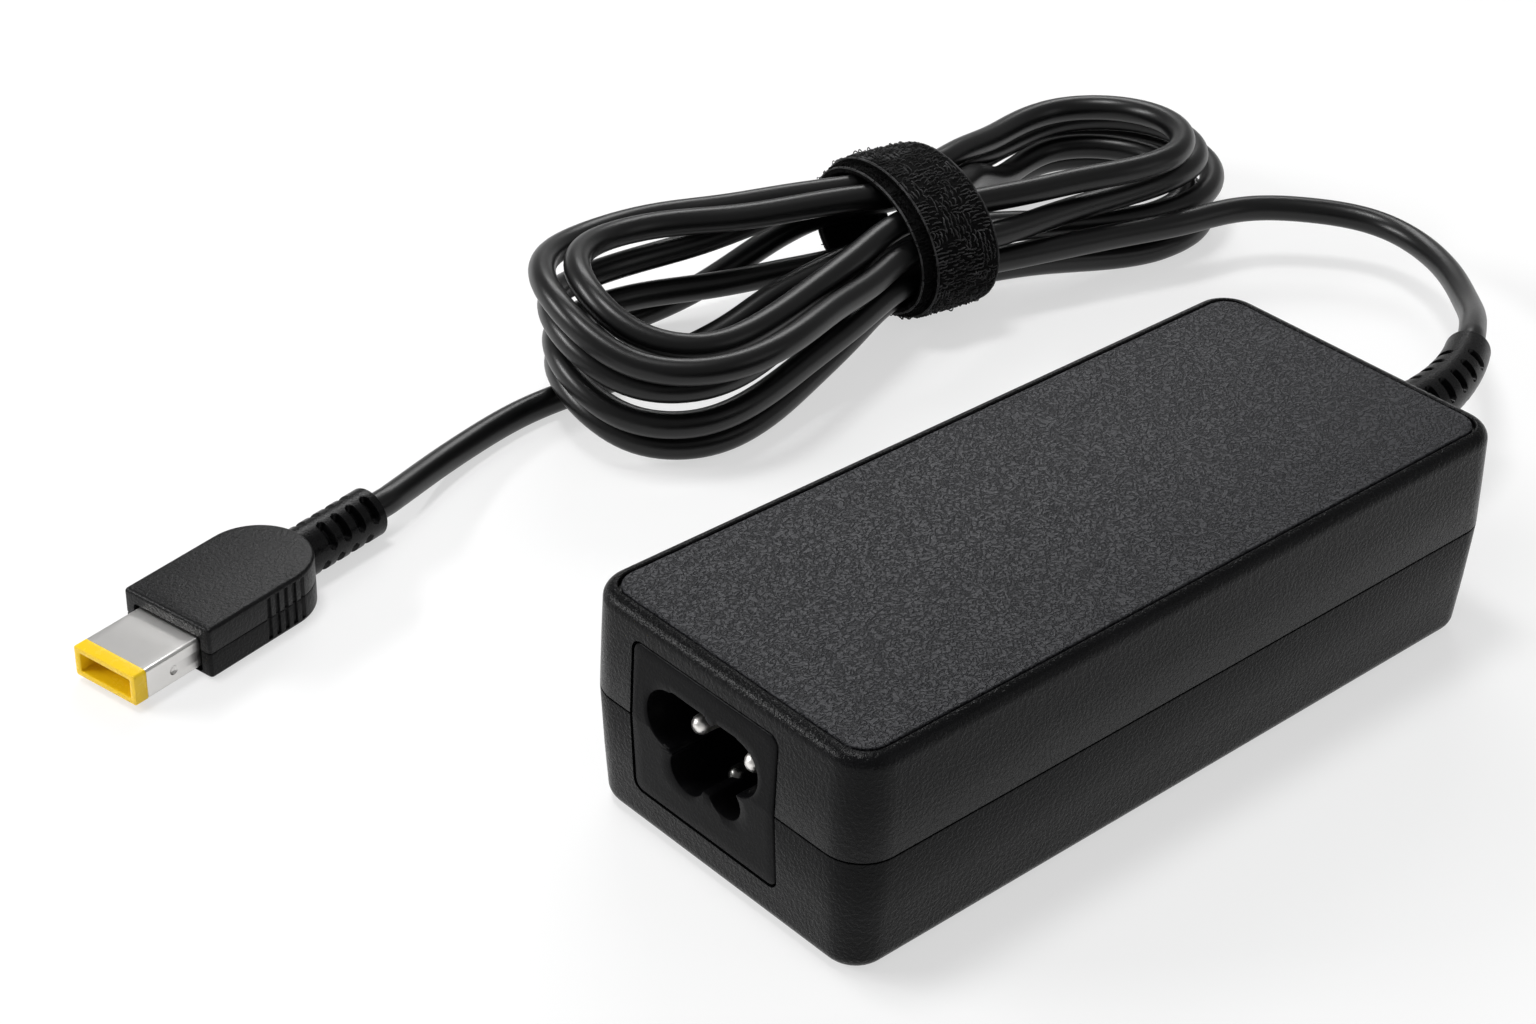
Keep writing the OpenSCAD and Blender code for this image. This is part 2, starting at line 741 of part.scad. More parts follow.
// Side of run n: -1 near, 1 far
function run_side(n) = n % 2 == 0 ? -1 : 1;

// Point of half turn k at angle a
function on_turn(k, a) = let (e = TURNS[k - 1])
    [e[0] + e[2] * (cos(a) + e[5] * sin(a)), e[1] + e[2] * sin(a), e[3] + e[4] * sin(a)];

// Place where run n leaves the tie on its left or right
function at_tie(n, right) = let (w = TIE_PLACES[n])
    right ? [tie_hold, w[2], tie_z + w[3]] : [-tie_hold, w[0], tie_z + w[1]];

// Angle at which run n, straight from the tie, touches half turn k
function touch(k, n) = let (e = TURNS[k - 1], w = at_tie(n, e[0] > 0), dy = w[1] - e[1],
        dx = w[0] - e[0] - e[5] * dy, to = atan2(dy, dx), off = acos(min(1, e[2] / norm([dx, dy]))))
    (sin(to + off) - sin(to - off)) * run_side(n) > 0 ? to + off : to - off;
function run_from(n) = n == 0 ? RUN_START : on_turn(n, touch(n, n));
function run_to(n) = n == 10 ? RUN_FINISH : on_turn(n + 1, touch(n + 1, n));

// Point of a run at share f of the way from the tie's edge w to its end q
function along(q, w, f) =
    [w[0] + (q[0] - w[0]) * f, w[1] + (q[1] - w[1]) * f, q[2] + (w[2] - q[2]) * smooth(1 - f)];
function run(n) = let (a = run_from(n), b = run_to(n), wa = at_tie(n, a[0] > 0), wb = at_tie(n, b[0] > 0))
    concat([for (i = [3:-1:0]) along(a, wa, i / 3)], [for (i = [0:n < 10 ? 2 : 1]) along(b, wb, i / 3)]);

// Six points of the half turn that follows run n
function turned(a) = a - 360 * round(a / 360);
function turn(n) = let (k = n + 1, out = k % 2 == 1 ? 180 : 0, a = turned(touch(k, n) - out),
        b = turned(touch(k, k) - out))
    [for (i = [0:5]) on_turn(k, out + a + (b - a) * i / 6)];

// The left half turns arch up over the plug's lead
function arch(p) = smooth((-p[0] - 24) / 28) * 2.35
    * (1 + cos(180 * max(-1, min(1, (p[1] + 6) / 22))));
function hank_local() = [
    for (n = [0:10]) each [for (p = concat(run(n), n < 10 ? turn(n) : [])) p + [0, 0, arch(p)]]
];
function to_hank(p) = hank_at + [
    p[0] * cos(hank_turn) - p[1] * sin(hank_turn), p[0] * sin(hank_turn) + p[1] * cos(hank_turn), p[2]
];

// The whole hank, with a straight piece one cord thick at either end
function hank_path() = let (p = hank_local(), m = len(p) - 1)
    [for (q = concat([p[0] + [cord_d, 0, 0]], p, [p[m] + cord_d * unit(p[m] - p[m - 1])])) to_hank(q)];

// Least space between two cords of a path, on points a few millimetres apart
function between(p, n) = [for (i = [0:len(p) - 2], k = [0:n - 1]) p[i] + (p[i + 1] - p[i]) * k / n];
function least_gap(q, apart) =
    min([for (i = [0:len(q) - 1 - apart]) min([for (j = [i + apart:len(q) - 1]) norm(q[i] - q[j])])]) - cord_d;
function path_length(p) = len(p) < 2 ? 0 : [for (i = [1:len(p) - 1]) norm(p[i] - p[i - 1])] * same(1, len(p) - 1);

module cord_hank() {
    path = hank_path();
    echo(hank_length = path_length(path), least_gap = least_gap(between(path, 6), 16));
    color("#141415") tube(path, same(cord_d / 2, len(path)), hank_sides);
}

module cord_adapter_lead() {
    start = hank_path();
    path = concat([relief_end, relief_end + cord_d * relief_dir], ADAPTER_ROUTE,
        [start[0] + cord_d * unit(start[0] - start[1]), start[0]]);
    echo(adapter_lead_length = path_length(path));
    color("#141415") tube(path, same(cord_d / 2, len(path)), lead_sides);
}

module cord_plug_lead() {
    finish = hank_path();
    m = len(finish) - 1;
    out = [cos(plug_turn), sin(plug_turn), 0];
    first = plug_at + plug_relief_end * out + [0, 0, relief_axis_z];
    path = concat([first, first + cord_d * out], PLUG_ROUTE,
        [finish[m] + cord_d * unit(finish[m] - finish[m - 1]), finish[m]]);
    echo(plug_lead_length = path_length(path));
    color("#141415") tube(path, same(cord_d / 2, len(path)), lead_sides);
}

// One layer of the tie: an oval band of the given half sizes, one layer thick
module tie_layer(a, b) {
    rotate([90, 0, 90])
        linear_extrude(strap_w, center = true)
            difference() {
                polygon([for (i = [0:63]) [a * cos(5.625 * i), b * sin(5.625 * i)]]);
                polygon([for (i = [0:63]) [(a - strap_t) * cos(5.625 * i), (b - strap_t) * sin(5.625 * i)]]);
            }
}

module tie_strap() {
    color("#1a1a1b")
        translate(hank_at + [0, 0, tie_z])
            rotate([0, 0, hank_turn]) {
                tie_layer(tie_a, tie_b);
                translate([-strap_shift, 0, 0]) tie_layer(tie_a - strap_t + 0.02, tie_b - strap_t + 0.02);
            }
}

// ---------- plug ----------

module at_plug() {
    translate(plug_at) rotate([0, 0, plug_turn]) children();
}

nose_x = grip_l - grip_w / 2;

// Section across the grip: a rectangle with slightly rounded edges, standing on z = 0
module grip_section(w) {
    translate([0, grip_h / 2]) round_rect(w, grip_h, grip_fillet);
}

// The grip's solid: a straight part and a half-round rear end
module grip_form() {
    rotate([90, 0, 90]) linear_extrude(nose_x) grip_section(grip_w);
    translate([nose_x, 0, 0])
        rotate_extrude($fn = 96)
            intersection() {
                grip_section(grip_w);
                square([grip_w, grip_h]);
            }
}

module plug_body() {
    color("#1e1e20")
        at_plug()
            difference() {
                grip_form();
                translate([-1, -barrel_w / 2 - 0.5, barrel_z - barrel_h / 2 - 0.4])
                    cube([1.8, barrel_w + 1, barrel_h + 0.8]);
                translate([-1, -barrel_w / 2, barrel_z - barrel_h / 2]) cube([barrel_root + 1, barrel_w, barrel_h]);
                translate([0, 0, barrel_z]) rotate([0, 90, 0]) cylinder(d = centre_pin_d, h = barrel_root + 4);
                for (k = [0:groove_n - 1], s = [-1, 1])
                    translate([groove_start + k * groove_pitch, s * grip_w / 2, -1])
                        cylinder(d = 0.8, h = grip_h + 2, $fn = 16);
                for (s = [-1, 1])
                    translate([-1, s * (grip_w / 2) - 0.12, grip_h / 2 - 0.08]) cube([nose_x + 1, 0.24, 0.16]);
            }
}

module plug_strain_relief() {
    plug_slots = floor((plug_relief_end - grip_l - 4.5) / slot_pitch);
    color("#1b1b1c")
        at_plug()
            difference() {
                translate([nose_x, 0, relief_axis_z])
                    rotate([0, 90, 0]) cylinder(d = plug_relief_d, h = plug_relief_end - nose_x);
                translate([nose_x, 0, -1]) cylinder(d = grip_w + 0.06, h = grip_h + 2, $fn = 96);
                for (k = [0:plug_slots - 1]) {
                    translate([grip_l + 2.6 + k * slot_pitch, 0, relief_axis_z])
                        slot_pair(90, plug_relief_d / 2, 4.4);
                    translate([grip_l + 2.6 + (k + 0.5) * slot_pitch, 0, relief_axis_z])
                        slot_pair(0, plug_relief_d / 2, 4.4);
                }
            }
}

// A rectangular sleeve from x0 to x1 about the plug's axis
module sleeve(x0, x1, w, h, r, in_w, in_h) {
    translate([x0, 0, barrel_z])
        rotate([90, 0, 90])
            difference() {
                round_box(w, h, x1 - x0, r);
                translate([0, 0, -1]) round_box(in_w, in_h, x1 - x0 + 2, 0.15);
            }
}

module plug_barrel() {
    color("#b5b3ae")
        at_plug()
            sleeve(-barrel_l, barrel_root, barrel_w, barrel_h, 0.4, barrel_w - 2 * barrel_t, barrel_h - 2 * barrel_t);
}

// Coloured insulator: a liner inside the barrel with a frame in front of it
module plug_tip() {
    color("#f2c81e")
        at_plug() {
            sleeve(-barrel_l - tip_l, -barrel_l, barrel_w, barrel_h, 0.5, mouth_w, mouth_h);
            sleeve(-barrel_l - eps, barrel_root - 1, barrel_w - 2 * barrel_t, barrel_h - 2 * barrel_t, 0.2,
                mouth_w, mouth_h);
            translate([barrel_root - 1 - eps, 0, barrel_z])
                rotate([90, 0, 90])
                    difference() {
                        round_box(barrel_w - 2 * barrel_t, barrel_h - 2 * barrel_t, 1, 0.2);
                        translate([0, 0, -1]) cylinder(d = centre_pin_d, h = 3);
                    }
        }
}

module plug_centre_pin() {
    color("#c9b37a")
        at_plug()
            translate([-barrel_l + 2, 0, barrel_z])
                rotate([0, 90, 0]) cylinder(d = centre_pin_d, h = barrel_l - 2 + barrel_root + 3);
}

// Two spring contacts lying on the liner's floor and roof
module plug_contacts() {
    color("#c9b37a")
        at_plug()
            for (s = [-1, 1])
                translate([-barrel_l + 0.5, s * 2.6 - 1, barrel_z + mouth_h / 2 - 0.25])
                    cube([barrel_l + barrel_root - 1.6, 2, 0.25]);
}

// ---------- the parts ----------

top_shell();
bottom_shell();
top_panel();
inlet_body();
live_pin();
neutral_pin();
earth_pin();
circuit_board();
insulating_sheet();
fuse();
choke_core();
choke_windings();
x_capacitor();
bridge_rectifier();
bulk_capacitor();
primary_heatsink();
switching_transistor();
transformer_core();
transformer_bobbin();
transformer_winding();
optocoupler();
y_capacitor();
secondary_heatsink();
output_rectifier();
output_capacitors();
input_leads();
output_leads();
dc_strain_relief();
cord_adapter_lead();
cord_hank();
cord_plug_lead();
tie_strap();
plug_body();
plug_strain_relief();
plug_barrel();
plug_tip();
plug_centre_pin();
plug_contacts();
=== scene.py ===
# %% [markdown]
# # A laptop power adapter
#
# A black plastic brick has a mains inlet at one end and a thin cord at the other. The cord is
# folded into a hank, held by a strap, and ends in a flat plug. The solids come from the CAD
# model, which is loaded here and never moved. Every piece that shows gets its final surface
# here, worked out with numpy as a grid of points.

# %% Start
import json
import math

import bpy
import numpy as np
from mathutils import Matrix

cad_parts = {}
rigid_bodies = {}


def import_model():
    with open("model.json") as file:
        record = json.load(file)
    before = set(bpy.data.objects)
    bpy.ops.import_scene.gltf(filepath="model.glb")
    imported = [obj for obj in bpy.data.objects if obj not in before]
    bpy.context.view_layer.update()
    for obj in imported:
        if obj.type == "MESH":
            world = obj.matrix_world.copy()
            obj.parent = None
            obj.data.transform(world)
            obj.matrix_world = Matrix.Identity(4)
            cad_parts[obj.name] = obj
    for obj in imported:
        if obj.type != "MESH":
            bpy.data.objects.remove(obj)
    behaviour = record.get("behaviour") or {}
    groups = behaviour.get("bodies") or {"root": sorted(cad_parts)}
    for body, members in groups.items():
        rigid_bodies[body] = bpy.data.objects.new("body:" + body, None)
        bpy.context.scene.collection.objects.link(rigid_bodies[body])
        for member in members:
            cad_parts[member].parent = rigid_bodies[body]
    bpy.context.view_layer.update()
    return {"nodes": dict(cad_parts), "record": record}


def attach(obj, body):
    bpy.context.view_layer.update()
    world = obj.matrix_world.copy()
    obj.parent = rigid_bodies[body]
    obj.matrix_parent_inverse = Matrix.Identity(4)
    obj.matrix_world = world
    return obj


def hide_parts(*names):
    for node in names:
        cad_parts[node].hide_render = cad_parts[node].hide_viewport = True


def new_object(name, data):
    """An object in the scene."""
    obj = bpy.data.objects.new(name, data)
    bpy.context.scene.collection.objects.link(obj)
    return obj


def pose(x, y, z, at):
    """The matrix of an object at a point, with its own axes along three directions."""
    matrix = np.eye(4)
    matrix[:3, :3], matrix[:3, 3] = np.array([x, y, z]).T, at
    return Matrix(matrix.tolist())


for leftover in list(bpy.data.objects):
    bpy.data.objects.remove(leftover)
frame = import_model()
MM = 0.001

# %% [markdown]
# ## Camera
#
# A long lens looks down at the brick from its inlet end, from about a third of a metre away.
# The camera's own axes are written as unit vectors, so the view is exact: it looks along its
# own -Z, with +X to the right of the picture and +Y up.

# %% Camera
RIGHT = (0.746436, -0.664991, 0.024907)
UP = (0.346470, 0.420314, 0.838627)
BACK = (-0.568148, -0.617352, 0.544136)
CAMERA_AT = (-233.4, -202.4, 225.6)
camera_data = bpy.data.cameras.new("camera")
for key, value in dict(lens=73.31, sensor_width=36, clip_start=0.01, clip_end=20).items():
    setattr(camera_data, key, value)
camera = new_object("camera", camera_data)
camera.matrix_world = pose(RIGHT, UP, BACK, np.array(CAMERA_AT) * MM)
bpy.context.scene.camera = camera
print("camera lens", camera_data.lens, "mm")

# %% [markdown]
# ## From arrays to meshes
#
# Numpy gives each part's points as one grid, and the faces follow from the grid's own order.
# The columns always go round. The rows go round as well, or end in flat faces, so every part
# is closed. Face order decides which side is the outside: where the part's signed volume
# comes out negative, every face is turned over.

# %% Grids and pieces
def grid_faces(rows, columns, ring=False):
    """Quads between neighbours of a grid numbered row by row. The columns go round."""
    r, c = np.meshgrid(np.arange(rows if ring else rows - 1), np.arange(columns), indexing="ij")
    r, c = r.ravel(), c.ravel()
    r2, c2 = (r + 1) % rows, (c + 1) % columns
    return np.stack([r * columns + c, r * columns + c2, r2 * columns + c2, r2 * columns + c], 1)


def surface(points, ring=False):
    """A closed part of a piece, from a grid of points.

    In a ring the last row joins the first. Otherwise a flat face closes each end row.
    """
    rows, columns = points.shape[:2]
    faces = grid_faces(rows, columns, ring).tolist()
    if not ring:
        faces.append(list(range(columns))[::-1])
        faces.append(list(range((rows - 1) * columns, rows * columns)))
    return points.reshape(-1, 3), faces


def signed_volume(points, faces):
    """A sixth of the sum of corner products over each face's fan of triangles."""
    a = np.concatenate([np.full(len(f) - 2, f[0]) for f in faces])
    b = np.concatenate([f[1:-1] for f in faces])
    c = np.concatenate([f[2:] for f in faces])
    return float(np.einsum("ij,ij->i", points[a], np.cross(points[b], points[c])).sum() / 6)


def build(name, parts, sharp=40, uv=None):
    """A mesh object from several parts in metres, smooth but for edges sharper than an angle."""
    offset, points, faces = 0, [], []
    for part_points, part_faces in parts:
        if signed_volume(part_points, part_faces) < 0:
            part_faces = [f[::-1] for f in part_faces]
        points.append(part_points)
        faces += [[i + offset for i in f] for f in part_faces]
        offset += len(part_points)
    mesh = bpy.data.meshes.new(name)
    mesh.from_pydata(np.concatenate(points).tolist(), [], faces)
    mesh.polygons.foreach_set("use_smooth", np.ones(len(mesh.polygons), bool))
    if uv is not None:
        corners = np.empty(len(mesh.loops), np.int32)
        mesh.loops.foreach_get("vertex_index", corners)
        layer = mesh.uv_layers.new(name="UVMap").data
        layer.foreach_set("uv", uv[corners].astype(np.float32).ravel())
    mesh.update()
    mesh.set_sharp_from_angle(angle=math.radians(sharp))
    return new_object(name, mesh)


def place_piece(obj, finish, slot, *nodes):
    """Gives a piece its material, hides the nodes that it stands for, and lets it ride. The slot
    is not used.
    """
    obj.data.materials.clear()
    obj.data.materials.append(finish)
    if nodes:
        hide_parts(*nodes)
    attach(obj, "root")
    size = np.ptp(np.array(obj.bound_box), 0)
    print(obj.name, "faces", len(obj.data.polygons), "size mm", np.round(size / MM, 1).tolist())


# %% Small helpers
def smooth_step(t):
    """Rises from 0 to 1 with level ends: three t squared less two t cubed."""
    t = np.clip(t, 0, 1)
    return t * t * (3 - 2 * t)


def unit(vectors):
    """The same directions, each with length one."""
    return vectors / np.linalg.norm(vectors, axis=-1, keepdims=True)


def full_turn(count):
    """Evenly spaced angles once round."""
    return np.linspace(0, 2 * np.pi, count, endpoint=False)


def circle(angle):
    """Points on a circle of radius one: the angle's cosine and sine."""
    return np.stack([np.cos(angle), np.sin(angle)], -1)


def at_x(outline, x):
    """An outline in (y, z), set up at x."""
    return np.column_stack([np.full(len(outline), x), outline])


def at_z(outline, z):
    """An outline in (x, y), laid at height z."""
    return np.column_stack([outline, np.full(len(outline), z)])


def turn_by(angle):
    """The matrix that turns points about Z when they are multiplied by it."""
    c, s = math.cos(angle), math.sin(angle)
    return np.array([[c, s, 0], [-s, c, 0], [0, 0, 1]])


print("mesh helpers ready")

# %% [markdown]
# ## Finishes
#
# Each material is a Principled shader. What is the same all over is set on the shader's own
# sockets. What changes from place to place, such as grain, comes from noise on Object
# coordinates, which are metres here: a scale of 1000 gives detail of about a millimetre.

# %% Shader helpers
def shader_of(finish):
    """The material's Principled shader."""
    return finish.node_tree.nodes["Principled BSDF"]


def new_finish(name, colour, roughness, **sockets):
    """A material with one Principled shader. Further sockets are set by name."""
    finish = bpy.data.materials.new(name)
    finish.use_nodes = True
    inputs = shader_of(finish).inputs
    inputs["Base Color"].default_value = (*colour, 1)
    inputs["Roughness"].default_value = roughness
    for socket, value in sockets.items():
        inputs[socket.replace("_", " ")].default_value = value
    return finish


def add(finish, kind, links=(), **settings):
    """Adds a node. Settings go to its properties or inputs, links are (input, output)."""
    node = finish.node_tree.nodes.new(kind)
    for key, value in settings.items():
        if hasattr(node, key):
            setattr(node, key, value)
        else:
            node.inputs[key.replace("_", " ")].default_value = value
    for target, source in links:
        finish.node_tree.links.new(source, node.inputs[target])
    return node


def drive(finish, socket, output):
    """Feeds one socket of the material's shader."""
    finish.node_tree.links.new(output, shader_of(finish).inputs[socket])


def object_place(finish):
    """Object coordinates, in metres."""
    return add(finish, "ShaderNodeTexCoord").outputs["Object"]


def noise(finish, place, scale, detail=2.0, rough=0.5, distortion=0.0):
    """Noise of about one cycle per 1/scale metres."""
    return add(finish, "ShaderNodeTexNoise", [("Vector", place)], Scale=scale, Detail=detail,
               Roughness=rough, Distortion=distortion).outputs["Fac"]


def math_node(finish, operation, a, b=0.0):
    """One arithmetic step on numbers or outputs."""
    node = add(finish, "ShaderNodeMath", operation=operation)
    for socket, value in zip(node.inputs, (a, b)):
        if isinstance(value, (int, float)):
            socket.default_value = value
        else:
            finish.node_tree.links.new(value, socket)
    return node.outputs[0]


def spread(finish, value, to_low, to_high, low=0.3, high=0.7):
    """Maps a value onto a range, held at the ends. Most of a noise lies from 0.3 to 0.7."""
    return add(finish, "ShaderNodeMapRange", [("Value", value)], From_Min=low, From_Max=high,
               To_Min=to_low, To_Max=to_high).outputs[0]


def blend_colours(finish, value, stops):
    """A colour ramp over a value. Stops are (place, colour)."""
    ramp = add(finish, "ShaderNodeValToRGB", [("Fac", value)])
    while len(ramp.color_ramp.elements) < len(stops):
        ramp.color_ramp.elements.new(0.5)
    for element, (at, colour) in zip(ramp.color_ramp.elements, stops):
        element.position = at
        element.color = (*colour, 1)
    return ramp.outputs["Color"]


def bump(finish, height, depth, below=None):
    """Tilts the surface by a height map, depth metres deep, over another bump if given."""
    node = add(finish, "ShaderNodeBump", [("Height", height)], Distance=depth)
    if below is not None:
        finish.node_tree.links.new(below, node.inputs["Normal"])
    return node.outputs["Normal"]


FINER, MOTTLE_SCALE, WORM_HEIGHT, WORM_EDGES = 2.3, 90, 0.6, (0.42, 0.58)
MARK_SCALE, WAVE_SCALE = 2500, 260


def grained(name, colour, roughness, grain=2100, depth=0.00003, mottle=0.25, gloss=0.15,
            scatter=0.1):
    """Moulded plastic: a fine worm-like grain, and faint mottling in colour and roughness."""
    finish = new_finish(name, colour, roughness, Specular_IOR_Level=gloss)
    at = object_place(finish)
    worms = spread(finish, noise(finish, at, grain, 0.6, 0.5, 0.4), 0, 1, *WORM_EDGES)
    fine = noise(finish, at, grain * FINER, 2, 0.6)
    height = math_node(finish, "ADD", math_node(finish, "MULTIPLY", worms, WORM_HEIGHT), fine)
    darker, lighter = (tuple(c * share for c in colour) for share in (1 - mottle, 1 + mottle))
    broad = noise(finish, at, MOTTLE_SCALE, 3)
    drive(finish, "Base Color", blend_colours(finish, broad, [(0.3, darker), (0.7, lighter)]))
    drive(finish, "Roughness", spread(finish, fine, roughness + scatter, roughness - scatter))
    drive(finish, "Normal", bump(finish, height, depth))
    return finish


def smooth_metal(name, colour, roughness, scale, depth=0.000004, uneven=0.2):
    """Plated metal with fine marks. A scale under 1 on an axis draws them out along it.

    The roughness differs from place to place, by a share of at most uneven.
    """
    finish = new_finish(name, colour, roughness, Metallic=1.0)
    lines = add(finish, "ShaderNodeMapping", [("Vector", object_place(finish))], Scale=scale)
    marks = noise(finish, lines.outputs[0], MARK_SCALE)
    drive(finish, "Roughness",
          spread(finish, marks, roughness * (1 - uneven), roughness * (1 + uneven)))
    drive(finish, "Normal", bump(finish, marks, depth))
    return finish


print("shader helpers ready")

# %% [markdown]
# ## Sizes
#
# The CAD model's own measures that more than one piece needs, in millimetres. The brick
# stands over the origin, with its inlet towards -X and its cord towards +X.

# %% Sizes
CORD = 3.8
CASE_L, CASE_W, CASE_H, CORNER = 108.0, 46.0, 29.5, 5.2
SEAM, WALL = 16.0, 2.2
RELIEF_ROOT, RELIEF_TIP, RELIEF_STRAIGHT, RELIEF_CURVE = 4.3, 3.1, 12, 39
RELIEF_BEND = math.radians(30)
RELIEF_L = RELIEF_STRAIGHT + RELIEF_CURVE * RELIEF_BEND
GRIP_L, GRIP_W, GRIP_H = 22.5, 14.7, 7.2
PLUG_RELIEF_R, PLUG_END = 3.4, 35.6
PLUG_AT, PLUG_TURN = np.array([-76.3, 75.8, 0.0]), math.radians(10.9)
print("brick", CASE_L, "x", CASE_W, "x", CASE_H, "mm, cord", CORD, "mm thick")

# %% [markdown]
# ## The cord's route
#
# The cord leaves the brick, is folded up and down in five and a half loops, and comes out
# towards the plug. Each end of a loop is a half turn, written as the middle, radius and height
# of a circle that may lean and tilt. The strap gathers the runs, so each has a place at either
# edge of the strap, and goes straight from there to the point where it touches its half turn
# as a tangent. A smooth curve through these points is the cord's centre line.

# %% Half turns and runs of the hank
TIE_Z, TIE_HOLD = 11.3, 6.5  # height of the strap's middle, half its hold
HANK_AT, HANK_TURN = np.array([57.0, 84.5, 0.0]), math.radians(-10)
# Half turns 1 to 10, odd ones on the left: x, y, radius, height, rise of the far side, lean
TURNS = [
    (-45.59, -8.68, 16.72, 6.41, 0, 0.16), (41.22, 7.1, 16.12, 1.9, 0, 0.03),
    (-43.8, -6.86, 17.38, 1.95, 0, 0.19), (40.41, 7.42, 17.71, 7.5, -1.27, 0.02),
    (-44.8, -7.11, 17.39, 11.3, 0, 0.18), (39.5, 5.94, 14.8, 11.6, -1.6, 0.05),
    (-43.2, -7.79, 20.1, 16.36, 0.68, 0.12), (34.9, 2.27, 13.6, 16.6, -1.54, 0.04),
    (-42.98, -7.45, 15.3, 16.55, 0.92, 0.16), (40.2, 6.8, 13.3, 6, -0.4, 0)]
# Runs 0 to 10 where they leave the strap: side and height on its left, then on its right
TIE_PLACES = [
    (-10.4, -2, -10.5, -2.2), (4.6, -5.1, 5.9, -5.1), (-7.3, -5.6, -7.5, -5.4),
    (11.4, -0.8, 11.1, -1.1), (-4, 1, -4.3, -0.7), (9.4, 3.3, 8, 2.7),
    (-10.4, 2.7, -10.8, 2.2), (4.6, 6.5, 4.9, 6.4), (-6.9, 5.6, -6.6, 5.8),
    (0, 7, -0.5, 5.3), (0.4, -1.6, 0.4, -1.7)]
LAST_RUN = len(TIE_PLACES) - 1
RUN_START, RUN_FINISH = (41, -15, 9.2), (-42, -1, CORD / 2)
TURN_STEPS = 6
# The arch over the lead: start, length of its rise, middle, half width and height
ARCH_FROM, ARCH_RUN, ARCH_Y, ARCH_REACH, ARCH_TOP = -24, 28, -6, 22, 4.7


def on_turn(k, angle):
    """Points of half turn k: a circle that leans along the hank and tilts across it."""
    x, y, r, z, rise, lean = TURNS[k - 1]
    c, s = np.cos(angle), np.sin(angle)
    return np.stack([x + r * (c + lean * s), y + r * s, z + rise * s], -1)


def at_tie(n, right):
    """Where run n leaves the strap on its left or its right."""
    y, z = TIE_PLACES[n][2:] if right else TIE_PLACES[n][:2]
    return np.array([TIE_HOLD if right else -TIE_HOLD, y, TIE_Z + z])


def touch(k, n):
    """Angle at which run n, straight from the strap, touches half turn k as a tangent."""
    x, y, r, _, _, lean = TURNS[k - 1]
    tie_x, tie_y, _ = at_tie(n, x > 0)
    dy = tie_y - y
    dx = tie_x - x - lean * dy
    towards, off = math.atan2(dy, dx), math.acos(min(1, r / math.hypot(dx, dy)))
    one, other = towards + off, towards - off
    side = 1 if n % 2 else -1
    return one if (math.sin(one) - math.sin(other)) * side > 0 else other


def leg(end, tie, shares):
    """Points between the strap (share 0) and an end (share 1), straight in plan, level at both."""
    share = np.array(shares)[:, None]
    points = tie + (end - tie) * share
    points[:, 2] = end[2] + (tie[2] - end[2]) * smooth_step(1 - share[:, 0])
    return points


def run_points(n):
    """Run n from one half turn to the next, in two legs that meet at the strap."""
    start = np.array(RUN_START, float) if n == 0 else on_turn(n, touch(n, n))
    finish = np.array(RUN_FINISH, float) if n == LAST_RUN else on_turn(n + 1, touch(n + 1, n))
    shares = (0, 1 / 3, 2 / 3) if n < LAST_RUN else (0, 1 / 3)
    return np.concatenate([leg(start, at_tie(n, start[0] > 0), (1, 2 / 3, 1 / 3, 0)),
                           leg(finish, at_tie(n, finish[0] > 0), shares)])


def turn_points(n):
    """Points of the half turn after run n, between those that its two runs touch."""
    k = n + 1
    out = math.pi if TURNS[n][0] < 0 else 0.0
    a, b = (math.remainder(touch(k, run) - out, 2 * math.pi) for run in (n, k))
    return on_turn(k, out + a + (b - a) * np.arange(TURN_STEPS) / TURN_STEPS)


def over_lead(points):
    """The left half turns arch up, by ARCH_TOP at most, over the lead that leaves under them.

    The lift is a smooth step towards the left, and falls off to both sides like a cosine.
    """
    x, y = points[:, 0], points[:, 1]
    beside = 1 + np.cos(np.pi * np.clip((y - ARCH_Y) / ARCH_REACH, -1, 1))
    lift = smooth_step((ARCH_FROM - x) / ARCH_RUN) * (ARCH_TOP / 2) * beside
    return points + np.stack([0 * x, 0 * x, lift], 1)


rows = [run_points(0)]
for n in range(LAST_RUN):
    rows += [turn_points(n), run_points(n + 1)]
hank = over_lead(np.concatenate(rows))
lead_in = hank[:1] + np.outer((2 * CORD, CORD), (1, 0, 0))
lead_out = hank[-1:] + np.outer((CORD, 2 * CORD), unit(hank[-1] - hank[-2]))
hank = HANK_AT + np.concatenate([lead_in, hank, lead_out]) @ turn_by(HANK_TURN)
print("hank points:", len(hank))

# %% [markdown]
# ## The whole centre line
#
# The two leads are laid through listed points. A cubic spline through all the points
# has no kink anywhere, which is how a cord of even stiffness lies. Both leads are then eased
# a little where they join the hank.

# %% Centre line
relief_end = np.array([CASE_L / 2 + RELIEF_STRAIGHT + RELIEF_CURVE * math.sin(RELIEF_BEND),
                       RELIEF_CURVE * (1 - math.cos(RELIEF_BEND)), SEAM])
relief_heading, plug_heading = turn_by(RELIEF_BEND)[0], turn_by(PLUG_TURN)[0]
ADAPTER_ROUTE = np.array([
    (93, 9.9, 15), (98.5, 13.8, 13), (104, 19, 11), (109.5, 24.7, 9.8), (114.7, 32.1, 8.8),
    (117.7, 40.4, 8.4), (117.2, 46.6, 8.6), (113.3, 52.1, 8.9)])
PLUG_ROUTE = np.array([
    (-31.5, 85.8, 2.9), (-24, 88.6, 2.2), (-16, 90.7, 1.95), (-8.5, 91.9, 1.95),
    (-0.7, 91.6, 1.95), (7.4, 90.8, 1.95), (15.3, 90, 2.1), (22, 89.1, 3.3), (28.5, 88.1, 5)])
